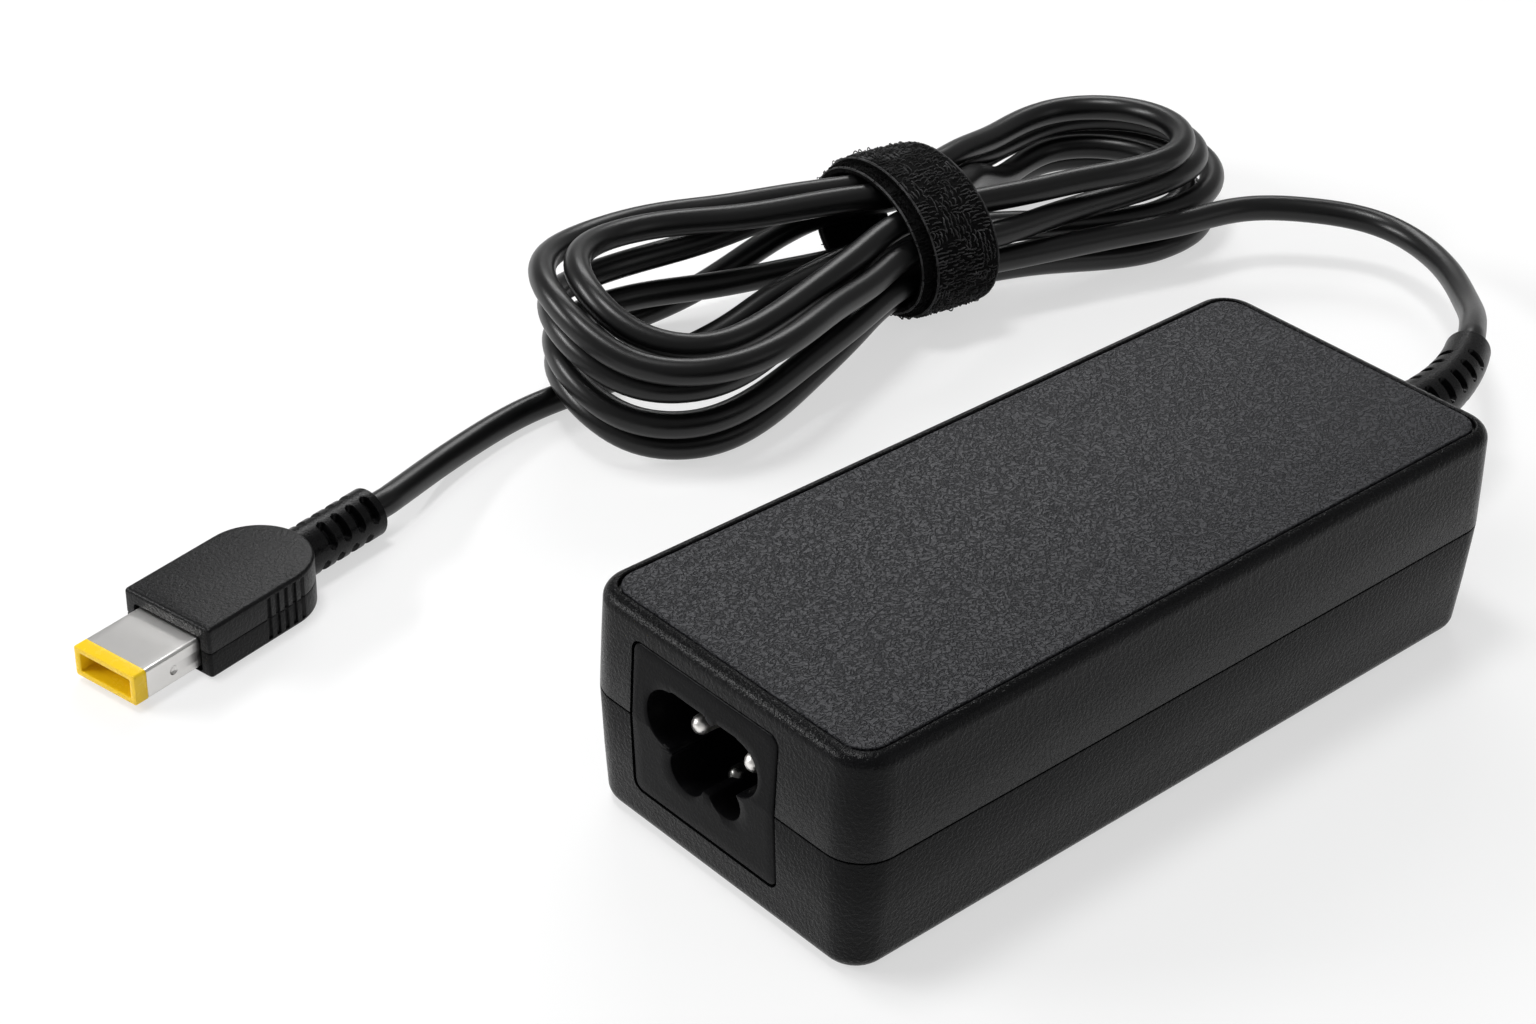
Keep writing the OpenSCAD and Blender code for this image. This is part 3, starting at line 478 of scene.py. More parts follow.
plug_exit = PLUG_AT + PLUG_END * plug_heading + np.array([0, 0, GRIP_H / 2])
route = np.concatenate([
    [relief_end, relief_end + CORD * relief_heading], ADAPTER_ROUTE, hank,
    PLUG_ROUTE[::-1], [plug_exit + CORD * plug_heading, plug_exit]])
STEP, FLOOR_GAP = 1.1, 0.02
LEAD_IN, LEAD_OUT, HELD = 75, 110, 3  # points eased at each end, bar the held ones


def spline_through(points, step):
    """A cubic spline through points by chord length, with free ends, sampled every step.

    The slopes' changes (second derivatives) at the points solve one set of linear equations,
    in which each point's slope is the same from both sides.
    """
    gap = np.linalg.norm(np.diff(points, axis=0), axis=1)
    at = np.concatenate([[0], np.cumsum(gap)])
    n = len(points)
    system = np.eye(n)
    inner = np.arange(1, n - 1)
    system[inner, inner - 1] = gap[:-1]
    system[inner, inner] = 2 * (gap[:-1] + gap[1:])
    system[inner, inner + 1] = gap[1:]
    slope = np.diff(points, axis=0) / gap[:, None]
    wanted = np.zeros((n, 3))
    wanted[1:-1] = 6 * (slope[1:] - slope[:-1])
    second = np.linalg.solve(system, wanted)
    s = np.linspace(0, at[-1], int(at[-1] / step) + 1)
    i = np.clip(np.searchsorted(at, s, side="right") - 1, 0, n - 2)
    h, left, right = gap[i][:, None], (at[i + 1] - s)[:, None], (s - at[i])[:, None]
    curve = (second[i] * left**3 + second[i + 1] * right**3) / (6 * h)
    curve += (points[i] / h - second[i] * h / 6) * left
    return curve + (points[i + 1] / h - second[i + 1] * h / 6) * right


def ease(line, first, last, passes=30):
    """Averages each point of a stretch with its neighbours, again and again. The ends stay."""
    for _ in range(passes):
        before, here, after = (line[first + i:last - 1 + i] for i in range(3))
        line[first + 1:last] = (before + 2 * here + after) / 4


centre_line = spline_through(route, STEP)
centre_line[:, 2] = np.maximum(centre_line[:, 2], CORD / 2 + FLOOR_GAP)
ease(centre_line, HELD, LEAD_IN)
ease(centre_line, len(centre_line) - LEAD_OUT, len(centre_line) - 1 - HELD)


# %% Tubes
def tube_rings(line, radius, around):
    """Rings of points about a line: side is level, up is square to side and to the line."""
    along = unit(np.gradient(line, axis=0))
    side = unit(np.cross([0, 0, 1], along))
    up = np.cross(along, side)
    angle = full_turn(around)[:, None]
    radius = np.broadcast_to(radius, (len(line), around))[:, :, None]
    return line[:, None] + radius * (np.cos(angle) * side[:, None] + np.sin(angle) * up[:, None])


cord_jacket = grained("cord_jacket", (0.002, 0.002, 0.0022), 0.34, grain=1800, depth=0.000003,
                      mottle=0.15, gloss=0.36, scatter=0.03)
cord = build("cord", [surface(tube_rings(centre_line, CORD / 2, around=28) * MM)])
place_piece(cord, cord_jacket, "cord_jacket", "cord_adapter_lead", "cord_hank", "cord_plug_lead")

# %% [markdown]
# ## The brick's shells
#
# The brick is two moulded shells that meet at a fine groove. Seen from above each is a
# rectangle with round corners. The walls lean in a little, so that the mould lets go. One
# outline, drawn in by a varying amount at each height, gives the whole surface: out over the
# rounded edge, down the wall, round the rim and up the inside.

# %% Outlines
def rounded_rectangle(half_l, half_w, radius, corner=12, side=24):
    """Points round a rectangle: quarter circles at the corners, evenly spaced points between."""
    quarter = circle(np.linspace(0, np.pi / 2, corner)) * radius
    corners = []
    for turn, (sx, sy) in enumerate([(1, 1), (-1, 1), (-1, -1), (1, -1)]):
        corners.append(quarter @ turn_by(turn * math.pi / 2)[:2, :2]
                       + [sx * (half_l - radius), sy * (half_w - radius)])
    pieces = []
    for i in range(4):
        a, b = corners[i][-1], corners[(i + 1) % 4][0]
        share = np.linspace(0, 1, side + 2)[1:-1, None]
        pieces += [corners[i], a + (b - a) * share]
    return np.concatenate(pieces)


def carried(profile, radius, smallest=0.15):
    """A profile of (inset, height) carried round the brick, whose outline the inset shrinks."""
    rows = []
    for inset, z in profile:
        rows.append(at_z(rounded_rectangle(CASE_L / 2 - inset, CASE_W / 2 - inset,
                                           max(radius - inset, smallest)), z))
    return np.array(rows) * MM


def arc_profile(x, z, radius, start, stop, steps):
    """Points of (inset, height) on a circle, from one angle in degrees to another."""
    return radius * circle(np.radians(np.linspace(start, stop, steps))) + [x, z]


def cut_out(shell, cutters):
    """Cuts closed meshes out of a piece, and keeps the result as its mesh."""
    for cutter in cutters:
        step = shell.modifiers.new("opening", "BOOLEAN")
        step.object, step.operation, step.solver = cutter, "DIFFERENCE", "EXACT"
    bpy.context.view_layer.update()
    solid = shell.evaluated_get(bpy.context.evaluated_depsgraph_get())
    cut = bpy.data.meshes.new_from_object(solid)
    shell.modifiers.clear()
    shell.data = cut
    cut.polygons.foreach_set("use_smooth", np.ones(len(cut.polygons), bool))
    cut.set_sharp_from_angle(angle=math.radians(30))
    for cutter in cutters:
        bpy.data.objects.remove(cutter)


# %% Openings in the end walls
PLATE_W, PLATE_H, PLATE_R = 23.9, 20.7, 1.3
PLATE_Y, PLATE_Z, PLATE_GAP = 2.2, 15.85, 0.2
NECK_R, BEYOND = 3.3, 2


def bar(name, outline, x0, x1):
    """A closed bar along X with an outline given in (y, z)."""
    return build(name, [surface(np.array([at_x(outline, x) for x in (x0, x1)]) * MM)])


def end_cutters():
    """The inlet's opening in one end wall and the cord's in the other."""
    plate = rounded_rectangle(PLATE_W / 2 + PLATE_GAP, PLATE_H / 2 + PLATE_GAP,
                              PLATE_R + PLATE_GAP, 8, 2)
    neck = NECK_R * circle(full_turn(64)) + [0, SEAM]
    near, far = CASE_L / 2 - WALL - BEYOND, CASE_L / 2 + BEYOND
    return [bar("plate_opening", plate + [PLATE_Y, PLATE_Z], -far, -near),
            bar("neck_opening", neck, near, far)]


# %% Shells
PANEL_T, PANEL_MARGIN, PANEL_GAP, PANEL_R, RIM = 0.8, 2.3, 0.25, 3.2, 0.22
TOP_FILLET, TOP_DRAFT, BASE_FILLET, BASE_DRAFT = 1.7, 0.35, 2.3, 0.9
# The groove where the shells meet: inset, and height from the seam
GROOVE = [(0, 0.22), (0.05, 0.11), (0.5, 0.06), (0.6, 0.02), (WALL, 0.02)]
case_plastic = grained("case_plastic", (0.003, 0.0031, 0.0035), 0.29, depth=0.00004, gloss=0.11,
                       scatter=0.12)
recess = PANEL_MARGIN - PANEL_GAP
top_profile = np.concatenate([
    [(recess, CASE_H - PANEL_T)], [(recess, CASE_H - RIM)],
    arc_profile(recess - RIM, CASE_H - RIM, RIM, 0, 90, 5)[1:],
    arc_profile(TOP_DRAFT + TOP_FILLET, CASE_H - TOP_FILLET, TOP_FILLET, 96, 180, 10),
    [(TOP_DRAFT / 2, (CASE_H + SEAM) / 2)], [(x, SEAM + z) for x, z in GROOVE],
    [(WALL + TOP_DRAFT, CASE_H - PANEL_T - WALL)]])
base_profile = np.concatenate([
    arc_profile(BASE_DRAFT + BASE_FILLET, BASE_FILLET, BASE_FILLET, 270, 180, 10),
    [(BASE_DRAFT / 2, SEAM / 2)], [(x, SEAM - z) for x, z in GROOVE],
    [(WALL + BASE_DRAFT, WALL)]])
for name, profile, node in [("top_case", top_profile, "top_shell"),
                            ("base_case", base_profile, "bottom_shell")]:
    shell = build(name, [surface(carried(profile, CORNER))])
    cut_out(shell, end_cutters())
    place_piece(shell, case_plastic, "case_plastic", node)

# %% [markdown]
# ## The top panel
#
# The panel is a thin plate let into the top, with a narrow dark groove round it. Its surface
# is moulded like wrinkled leather. Such wrinkles are the lines along which a smooth noise
# crosses its middle value, so the distance from that value is used as height. The creases are
# given a darker colour as painted shade.

# %% Panel
SWIRL_SCALE, SPECK_SCALE, CREASE_WIDTH = 1750, 4200, 0.10


def wrinkled(name, painted_crease_shade, hill):
    """Plastic moulded like leather, with a darker colour in its creases as painted shade."""
    finish = new_finish(name, hill, 0.5, Specular_IOR_Level=0.25)
    at = object_place(finish)
    swirl = noise(finish, at, SWIRL_SCALE, 0.8, 0.5, 0.5)
    crease = math_node(finish, "ABSOLUTE", math_node(finish, "SUBTRACT", swirl, 0.5))
    ridge = spread(finish, crease, 0, 1, 0, CREASE_WIDTH)
    speck = noise(finish, at, SPECK_SCALE)
    # Painted shade: the creases get a darker colour than the ridges.
    drive(finish, "Base Color", blend_colours(finish, ridge, [(0, painted_crease_shade), (1, hill)]))
    drive(finish, "Roughness", spread(finish, speck, 0.6, 0.4))
    drive(finish, "Normal", bump(finish, speck, 0.00002, bump(finish, ridge, 0.00009)))
    return finish


panel_plastic = wrinkled("panel_plastic", (0.0025, 0.0028, 0.004), (0.021, 0.0215, 0.025))
panel_profile = np.concatenate([
    [(0.1, 0), (0, 0.1), (0, PANEL_T - RIM)],
    arc_profile(RIM, PANEL_T - RIM, RIM, 180, 90, 6)[1:]]) + [PANEL_MARGIN, CASE_H - PANEL_T]
panel = build("panel", [surface(carried(panel_profile, PANEL_R + PANEL_MARGIN))])
place_piece(panel, panel_plastic, "panel_plastic", "top_panel")

# %% [markdown]
# ## The mains inlet
#
# The inlet is a separate moulding whose face plate fills the opening in the end wall. Its
# socket has a lobe for each pin of the connector, with the earth's below. Its outline is found
# by walking outwards from the middle in each direction, to where the lobes and blocks end.

# %% Inlet outlines
# Lobes: y, z, radius. Blocks: y from, y to, z from, z to. The notch is a lobe left solid
LOBES = [(5.7, 2.7, 3.9), (-5.6, 3.0, 3.7), (2.7, -3.0, 2.9), (-3.7, -2.6, 2.8)]
BLOCKS = [(-5.6, 5.7, -1.5, 6.9), (-3.7, 2.7, -3.95, -0.5)]
NOTCH = (-1.1, 7.1, 0.95)
MOUTH_POINTS, MOUTH_WAVES, WALK = 480, 75.0, (1, 12, 0.01)


def in_socket(y, z):
    """True where a point lies in a lobe, or in a block but not in the notch."""
    inside = np.any([(y0 <= y) & (y <= y1) & (z0 <= z) & (z <= z1) for y0, y1, z0, z1 in BLOCKS],
                    axis=0)
    inside &= np.hypot(y - NOTCH[0], z - NOTCH[1]) > NOTCH[2]
    for lobe_y, lobe_z, r in LOBES:
        inside |= np.hypot(y - lobe_y, z - lobe_z) < r
    return inside


def socket_outline(angle):
    """In each direction, the first distance from the middle at which a point is outside.

    Fine waves of that distance are damped, which rounds the corners between the lobes.
    """
    way = circle(angle)
    far = np.arange(*WALK)
    reach = far[np.argmin(in_socket(way[:, :1] * far, way[:, 1:] * far), axis=1)]
    damped = np.exp(-(np.arange(len(angle) // 2 + 1) / MOUTH_WAVES) ** 2)
    return way * np.fft.irfft(np.fft.rfft(reach) * damped, len(angle))[:, None]


def plate_outline(angle, shrink):
    """The plate's rounded rectangle, in the same directions as the socket's outline."""
    ring = rounded_rectangle(PLATE_W / 2 - shrink, PLATE_H / 2 - shrink, PLATE_R - shrink / 2,
                             24, 60)
    turn = np.arctan2(ring[:, 1], ring[:, 0]) % (2 * np.pi)
    order = np.argsort(turn)
    reach = np.interp(angle, turn[order], np.linalg.norm(ring[order], axis=1), period=2 * np.pi)
    return circle(angle) * reach[:, None]


def wall_lean(z):
    """How far the end wall lies inside the brick's longest outline at height z."""
    below = BASE_DRAFT * (SEAM - z) / (SEAM - BASE_FILLET)
    above = TOP_DRAFT * (z - SEAM) / (CASE_H - TOP_FILLET - SEAM)
    return np.where(z < SEAM, below, above)


# %% Inlet
FACE_SUNK, MOUTH_ROUND, PLATE_EDGE = 0.25, 0.25, 2.4
FACE_X = -CASE_L / 2 + FACE_SUNK
directions = full_turn(MOUTH_POINTS)
mouth = socket_outline(directions)
inner = mouth * (1 - MOUTH_ROUND / np.linalg.norm(mouth, axis=1, keepdims=True))
outer = plate_outline(directions, 0.3)
# Depth and ring of each row: out of the socket, over the plate, round its edge and back
inlet_rows = [(depth, inner + (mouth - inner) * share)
              for depth, share in [(14, 0), (6, 0), (0.35, 0), (0.1, 1 / 6), (0, 1)]]
inlet_rows += [(0, mouth + (outer - mouth) * share) for share in (0.25, 0.5, 0.75, 1)]
inlet_rows += [(depth, plate_outline(directions, shrink)) for depth, shrink in
               [(0.03, 0.2), (0.12, 0.11), (0.3, 0.08), (PLATE_EDGE, 0.08), (PLATE_EDGE, 1.6),
                (15.2, 1.6)]]
inlet_grid = []
for depth, ring in inlet_rows:
    ring = ring + [PLATE_Y, PLATE_Z]
    lean = (wall_lean(ring[:, 1]) - FACE_SUNK) * max(0, 1 - depth / PLATE_EDGE)
    inlet_grid.append(at_x(ring, FACE_X + depth + lean))
inlet_plastic = grained("inlet_plastic", (0.003, 0.003, 0.0034), 0.34, grain=2400,
                        depth=0.000012, gloss=0.05)
inlet = build("inlet", [surface(np.array(inlet_grid) * MM)], sharp=35)
place_piece(inlet, inlet_plastic, "inlet_plastic", "inlet_body")

# %% Pins
PIN_R, PIN_SIDES, PIN_END = 1.2, 32, 17.4
# Name, y, z, and how deep the tip lies
PINS = [("live", 6.95, 16.75, 2.8), ("neutral", -1.95, 16.75, 2.8), ("earth", 2.2, 11.75, 4.2)]


def turned_pin(y, z, depth):
    """A pin with a domed tip: distances along its axis and radii, turned round it."""
    bend = np.linspace(0, np.pi / 2, 10)
    along = np.concatenate([PIN_R * (1 - np.cos(bend)), [PIN_END - depth]])
    wide = np.concatenate([[0.02], PIN_R * np.sin(bend[1:]), [PIN_R]])
    ring = wide[:, None, None] * circle(full_turn(PIN_SIDES)) + [y, z]
    return np.array([at_x(outline, FACE_X + depth + x) for outline, x in zip(ring, along)])


# Painted light and shade: the three pins are one nickel. Its colour is raised on the live and
# neutral pins so they look lit, and made dark on the earth pin as painted shade deep in the
# socket.
pin_metal = smooth_metal("pin_metal", (0.9, 0.88, 0.85), 0.38, (0.1, 1, 1))
earth_pin_painted_shade = smooth_metal("earth_pin_painted_shade", (0.12, 0.12, 0.115), 0.3, (1, 0.1, 0.1))
for name, y, z, depth in PINS:
    pin = build(f"pin_{name}", [surface(turned_pin(y, z, depth) * MM)])
    place_piece(pin, earth_pin_painted_shade if name == "earth" else pin_metal, "pin_metal", f"{name}_pin")

# %% [markdown]
# ## Strain reliefs
#
# At the brick and at the plug a rubber sleeve holds the cord, with four columns of short slots
# on its diagonals, which let it bend. The brick's is a tapered tube along a bent axis. A slot
# is a bar with round ends, laid on the tube's surface, and every point inside it is moved
# towards the axis.

# %% Slotted sleeves
SLOT_TURN, SLOT_DEEP, SLOT_WALL = math.radians(45), 1.2, 0.12


def slotted(s, sizes, sides, starts, pitch, count, reach, half_wide, end_round):
    """A sleeve with its slots pressed in: distances along it, and radii all round at each.

    Sizes are the radii at the root and at the end, and the length. Columns of slots begin at
    the two starts by turns. Reach is half a slot's length as a share of the radius. The
    rounded end is given as distances past the last of s, and radii.
    """
    root, end, length = sizes
    grid = np.repeat((root + (end - root) * np.maximum(s, 0) / length)[:, None], sides, 1)
    for column in range(4):
        angle = full_turn(sides) - SLOT_TURN - column * np.pi / 2
        local = np.angle(np.exp(1j * angle))[None]
        for k in range(count):
            at_s = starts[column % 2] + pitch * k
            r = root + (end - root) * at_s / length
            beyond = np.maximum(np.abs(local * r) - (reach * r - half_wide), 0)
            inside = half_wide - np.hypot(s[:, None] - at_s, beyond)
            grid -= SLOT_DEEP * smooth_step(inside / SLOT_WALL + 0.5)
    past, radii = np.array(end_round).T
    rounded = np.repeat(radii[:, None], sides, 1)
    return np.concatenate([s, s[-1] + past]), np.concatenate([grid, rounded])


def relief_axis(s):
    """Along the sleeve's axis: straight at first, then an arc to the left."""
    turn = np.maximum(s - RELIEF_STRAIGHT, 0) / RELIEF_CURVE
    x = CASE_L / 2 + np.minimum(s, RELIEF_STRAIGHT) + RELIEF_CURVE * np.sin(turn)
    return np.column_stack([x, RELIEF_CURVE * (1 - np.cos(turn)), np.full(len(s), SEAM)])


relief_rubber = grained("relief_rubber", (0.003, 0.003, 0.0033), 0.32, grain=2400, depth=0.00001)

# %% Brick's strain relief
RELIEF_SIDES = 176
relief_s, radii = slotted(
    np.concatenate([[-2.3], np.linspace(-0.2, RELIEF_L - 0.35, 330)]),
    (RELIEF_ROOT, RELIEF_TIP, RELIEF_L), RELIEF_SIDES, starts=(2.6, 4.2), pitch=3.2, count=8,
    reach=0.52, half_wide=0.64,
    end_round=[(0.1, 3.007), (0.22, 2.79), (0.3, 2.48), (0.35, 1.984)])
relief_rings = tube_rings(relief_axis(relief_s), radii, RELIEF_SIDES)
relief = build("case_relief", [surface(relief_rings * MM)], sharp=50)
place_piece(relief, relief_rubber, "relief_rubber", "dc_strain_relief")

# %% [markdown]
# ## The plug
#
# The plug's grip is flat, with a straight front and a half-round rear. Its edges are lightly
# rounded, a mould line runs round it at half height, and each side has five narrow grooves.
# A metal barrel stands in a shallow recess in the front, and a yellow insulator lines it and
# covers its rim.

# %% Grip
GRIP_EDGE, FRONT_R, BARREL_Z = 0.5, 0.4, 3.0
NOSE = GRIP_L - GRIP_W / 2
HOLDS, HOLD_DEEP, HOLD_HALF, HOLD_WALL = 10.1 + 1.45 * np.arange(5), 0.32, 0.38, 0.16
HOLD_FROM, HOLD_TO, SIDE_DEPTH = 0.6, 6.6, 0.8


def to_plug(points):
    """Turns points from the plug's own axes, x back from its front, to the shared frame."""
    return (PLUG_AT + points @ turn_by(PLUG_TURN)) * MM


def grip_outline(inset):
    """A half circle, straight sides and a front with small corners, all drawn in by inset."""
    half = GRIP_W / 2 - inset
    rear = half * circle(np.linspace(-np.pi / 2, np.pi / 2, 60)) + [NOSE, 0]
    side_x = np.linspace(NOSE, inset + FRONT_R, 260)[1:-1]
    bend = np.linspace(0, np.pi / 2, 6)
    turn = np.column_stack([inset + FRONT_R * (1 - np.sin(bend)),
                            half - FRONT_R * (1 - np.cos(bend))])
    front_y = np.linspace(half - FRONT_R, -half + FRONT_R, 12)[1:-1]
    left = np.column_stack([side_x, np.full(len(side_x), half)])
    front = np.column_stack([np.full(len(front_y), inset), front_y])
    return np.concatenate([rear, left, turn, front, turn[::-1] * [1, -1], left[::-1] * [1, -1]])


# Rows just past the grooves' ends, and the mould line in the middle
grip_profile = np.concatenate([
    arc_profile(GRIP_EDGE, GRIP_EDGE, GRIP_EDGE, 270, 180, 6),
    [(0, 0.56), (0, 0.62), (0, 0.8), (0, 3.42), (0.05, 3.54), (0.13, 3.6), (0.05, 3.66),
     (0, 3.78), (0, 6.4), (0, 6.58), (0, 6.64)],
    arc_profile(GRIP_EDGE, GRIP_H - GRIP_EDGE, GRIP_EDGE, 180, 90, 6)])
grip_rows = []
for inset, z in grip_profile:
    ring = grip_outline(inset)
    near = np.abs(ring[:, :1] - HOLDS).min(1)
    pressed = HOLD_DEEP * smooth_step((HOLD_HALF - near) / HOLD_WALL)
    pressed *= (np.abs(ring[:, 1]) > GRIP_W / 2 - SIDE_DEPTH) & (HOLD_FROM < z < HOLD_TO)
    grip_rows.append(at_z(ring - np.column_stack([0 * pressed, np.sign(ring[:, 1]) * pressed]), z))
grip = build("grip", [surface(to_plug(np.array(grip_rows)))], sharp=35)
print("grip rows:", len(grip_rows))


# %% Grip's front
def sleeve_rings(rows, corner=8, side=10):
    """Rings of (x, half width, half height, corner radius) about the barrel's axis."""
    return to_plug(np.array([
        at_x(rounded_rectangle(half_w, half_h, radius, corner, side) + [0, BARREL_Z], x)
        for x, half_w, half_h, radius in rows]))


def front_cutter(name, depth, *sizes):
    """A closed bar from before the grip's front to a depth behind it."""
    return build(name, [surface(sleeve_rings([(-1, *sizes), (depth, *sizes)], 6, 2))])


cut_out(grip, [front_cutter("front_recess", 0.8, 5.8, 2.55, 0.5),
               front_cutter("barrel_hole", 5.0, 5.3, 2.15, 0.4)])
plug_plastic = grained("plug_plastic", (0.005, 0.005, 0.0054), 0.36, grain=2300, depth=0.00003,
                       mottle=0.3, gloss=0.15, scatter=0.12)
place_piece(grip, plug_plastic, "plug_plastic", "plug_body")

# %% Plug's strain relief
PLUG_SIDES = 144
relief_s, radii = slotted(
    np.linspace(NOSE, PLUG_END - 0.3, 240), (PLUG_RELIEF_R, PLUG_RELIEF_R, PLUG_END),
    PLUG_SIDES, starts=(GRIP_L + 1.9, GRIP_L + 3.2), pitch=2.6, count=4,
    reach=2.05 / PLUG_RELIEF_R, half_wide=0.62,
    end_round=[(0.12, 3.27), (0.25, 3.06), (0.3, 2.25)])
rings = radii[:, :, None] * circle(full_turn(PLUG_SIDES)) + [0, GRIP_H / 2]
cover = to_plug(np.array([at_x(ring, x) for ring, x in zip(rings, relief_s)]))
plug_relief = build("plug_relief", [surface(cover)], sharp=50)
place_piece(plug_relief, relief_rubber, "relief_rubber", "plug_strain_relief")

# %% Barrel
BARREL_HALF = 5.3
DIMPLE_X, DIMPLE_Z, DIMPLE_R, DIMPLE_OUT = -4.1, BARREL_Z - 0.2, 0.84, 0.52
BARREL_ROWS = [
    (-8.25, BARREL_HALF, 2.15, 0.5), (-8.35, 5.25, 2.1, 0.45), (-8.4, 5.15, 2.0, 0.4),
    (-8.35, 5.0, 1.85, 0.3), (-8.0, 4.95, 1.8, 0.25), (5.0, 4.95, 1.8, 0.25),
    (5.0, BARREL_HALF, 2.15, 0.5)]


def ball(name, centre, radius):
    """A closed ball in the plug's axes: rings at heights radius sin(a) of width radius cos(a)."""
    tilt = np.radians(np.linspace(-85, 85, 14))[:, None]
    wide = radius * np.cos(tilt)[:, :, None] * circle(full_turn(28))
    high = np.broadcast_to(radius * np.sin(tilt), wide.shape[:2])
    return build(name, [surface(to_plug(np.dstack([wide, high]) + centre))])


barrel_metal = smooth_metal("barrel_metal", (0.7, 0.69, 0.675), 0.36, (0.3, 1, 1),
                            depth=0.0000001, uneven=0.04)
barrel = build("barrel", [surface(sleeve_rings(BARREL_ROWS), ring=True)])
cut_out(barrel, [ball(name, (DIMPLE_X, side * (BARREL_HALF + DIMPLE_OUT), DIMPLE_Z), DIMPLE_R)
                 for name, side in (("dimple_left", 1), ("dimple_right", -1))])
place_piece(barrel, barrel_metal, "barrel_metal", "plug_barrel")

# %% Insulator
TIP_ROWS = [
    (4.0, 4.3, 1.3, 0.15), (-10.1, 4.3, 1.3, 0.15), (-10.25, 4.34, 1.34, 0.2),
    (-10.3, 4.42, 1.42, 0.25), (-10.3, 5.12, 2.0, 0.3), (-10.25, 5.24, 2.11, 0.35),
    (-10.12, 5.28, 2.15, 0.4), (-8.42, 5.28, 2.15, 0.4), (-8.42, 4.94, 1.79, 0.2),
    (5.0, 4.94, 1.79, 0.2)]
tip_plastic = new_finish("tip_plastic", (0.87, 0.57, 0.009), 0.3, Specular_IOR_Level=0.4)
clouds = noise(tip_plastic, object_place(tip_plastic), 900)
drive(tip_plastic, "Roughness", spread(tip_plastic, clouds, 0.2, 0.3))
tip = build("tip", [surface(sleeve_rings(TIP_ROWS))], sharp=35)
place_piece(tip, tip_plastic, "tip_plastic", "plug_tip")

# %% [markdown]
# ## The strap
#
# The hank is held by hook-and-loop tape, wound round twice: a band with its loops outside, and
# the layer under it, which sticks out on one side and shows its hooks. Each layer is a thin
# rectangle with soft corners, carried round an oval, with a woven edge along both rims. The
# loops are too coarse for a bump, so each one is a short bent yarn of its own, laid across or
# along the tape in small blocks. The hooks are made in the same way, a little taller.

# %% Strap
STRAP_W, STRAP_T, STRAP_ROUND, BAND_STEPS = 10.4, 0.98, 85, 360
# Half width, half height, shift along the hank, seed
LAYERS = [(15.48, 11.08, 0.0, 3), (14.48, 10.08, -2.0, 4)]


def off_oval(a, b, angle, x, out):
    """Points at x, out from an oval in (y, z) with half sizes a and b, and the ways out."""
    normal = unit(circle(angle) * [b, a])
    return np.dstack([x, circle(angle) * [a, b] + normal * out[..., None]]), normal


def from_hank(local):
    """Turns points from the hank's axes, about the strap's middle, to the shared frame."""
    return (HANK_AT + (local + [0, 0, TIE_Z]) @ turn_by(HANK_TURN)) * MM


def oval_band(a, b, shift, seed, fuzz=0.04):
    """A thin rounded section carried round an oval, its surface and edges roughened by noise."""
    rng = np.random.default_rng(seed)
    section = rounded_rectangle(STRAP_W / 2, STRAP_T / 2, STRAP_T * 0.4, 5, 14)
    angle = full_turn(BAND_STEPS)[:, None]
    rough = rng.normal(0, fuzz, (BAND_STEPS, len(section)))
    x = shift + section[:, 0] + rough * 0.6
    band, _ = off_oval(a - STRAP_T / 2, b - STRAP_T / 2, angle, x, section[:, 1] + rough)
    uv = np.stack(np.broadcast_arrays(angle / (2 * np.pi) * STRAP_ROUND, x), 2) * MM
    return from_hank(band), uv.reshape(-1, 2)


strap_fabric = new_finish("strap_fabric", (0.003,) * 3, 0.8, Specular_IOR_Level=0.06)
tape_place = add(strap_fabric, "ShaderNodeTexCoord").outputs["UV"]
weave = noise(strap_fabric, tape_place, 2600, 3, 0.6)
drive(strap_fabric, "Base Color", blend_colours(
    strap_fabric, weave, [(0.35, (0.0012,) * 3), (0.75, (0.007, 0.007, 0.0074))]))
drive(strap_fabric, "Normal", bump(strap_fabric, weave, 0.00025))
bands = [oval_band(*layer) for layer in LAYERS]
strap = build("strap", [surface(band, ring=True) for band, _ in bands],
              uv=np.concatenate([uv for _, uv in bands]), sharp=180)
place_piece(strap, strap_fabric, "strap_fabric", "tie_strap")

# %% Yarns and woven edges
YARN_ROWS, YARN_STEPS, YARN_SIDES = 140, 6, 4
KEPT_SHARE, ACROSS_SHARE, TALL_SHARE, TALL_MORE = 0.72, 0.62, 0.07, 0.4
# Mean radius of the oval, depth of a yarn's ends, least height over the floor
MEAN_R, SUNK, FLOOR_CLEAR = 13.0, 0.05, 0.04


def rim_bead(a, b, x, seed):
    """A thin uneven yarn along one rim of a layer: a small ring of six points round the oval."""
    rng = np.random.default_rng(seed)
    thick = 0.15 + rng.normal(0, 0.02, BAND_STEPS)[:, None]
    around, angle = full_turn(6), full_turn(BAND_STEPS)[:, None]
    return from_hank(off_oval(a - 0.1, b - 0.1, angle, x + thick * np.cos(around),
                              thick * np.sin(around))[0])


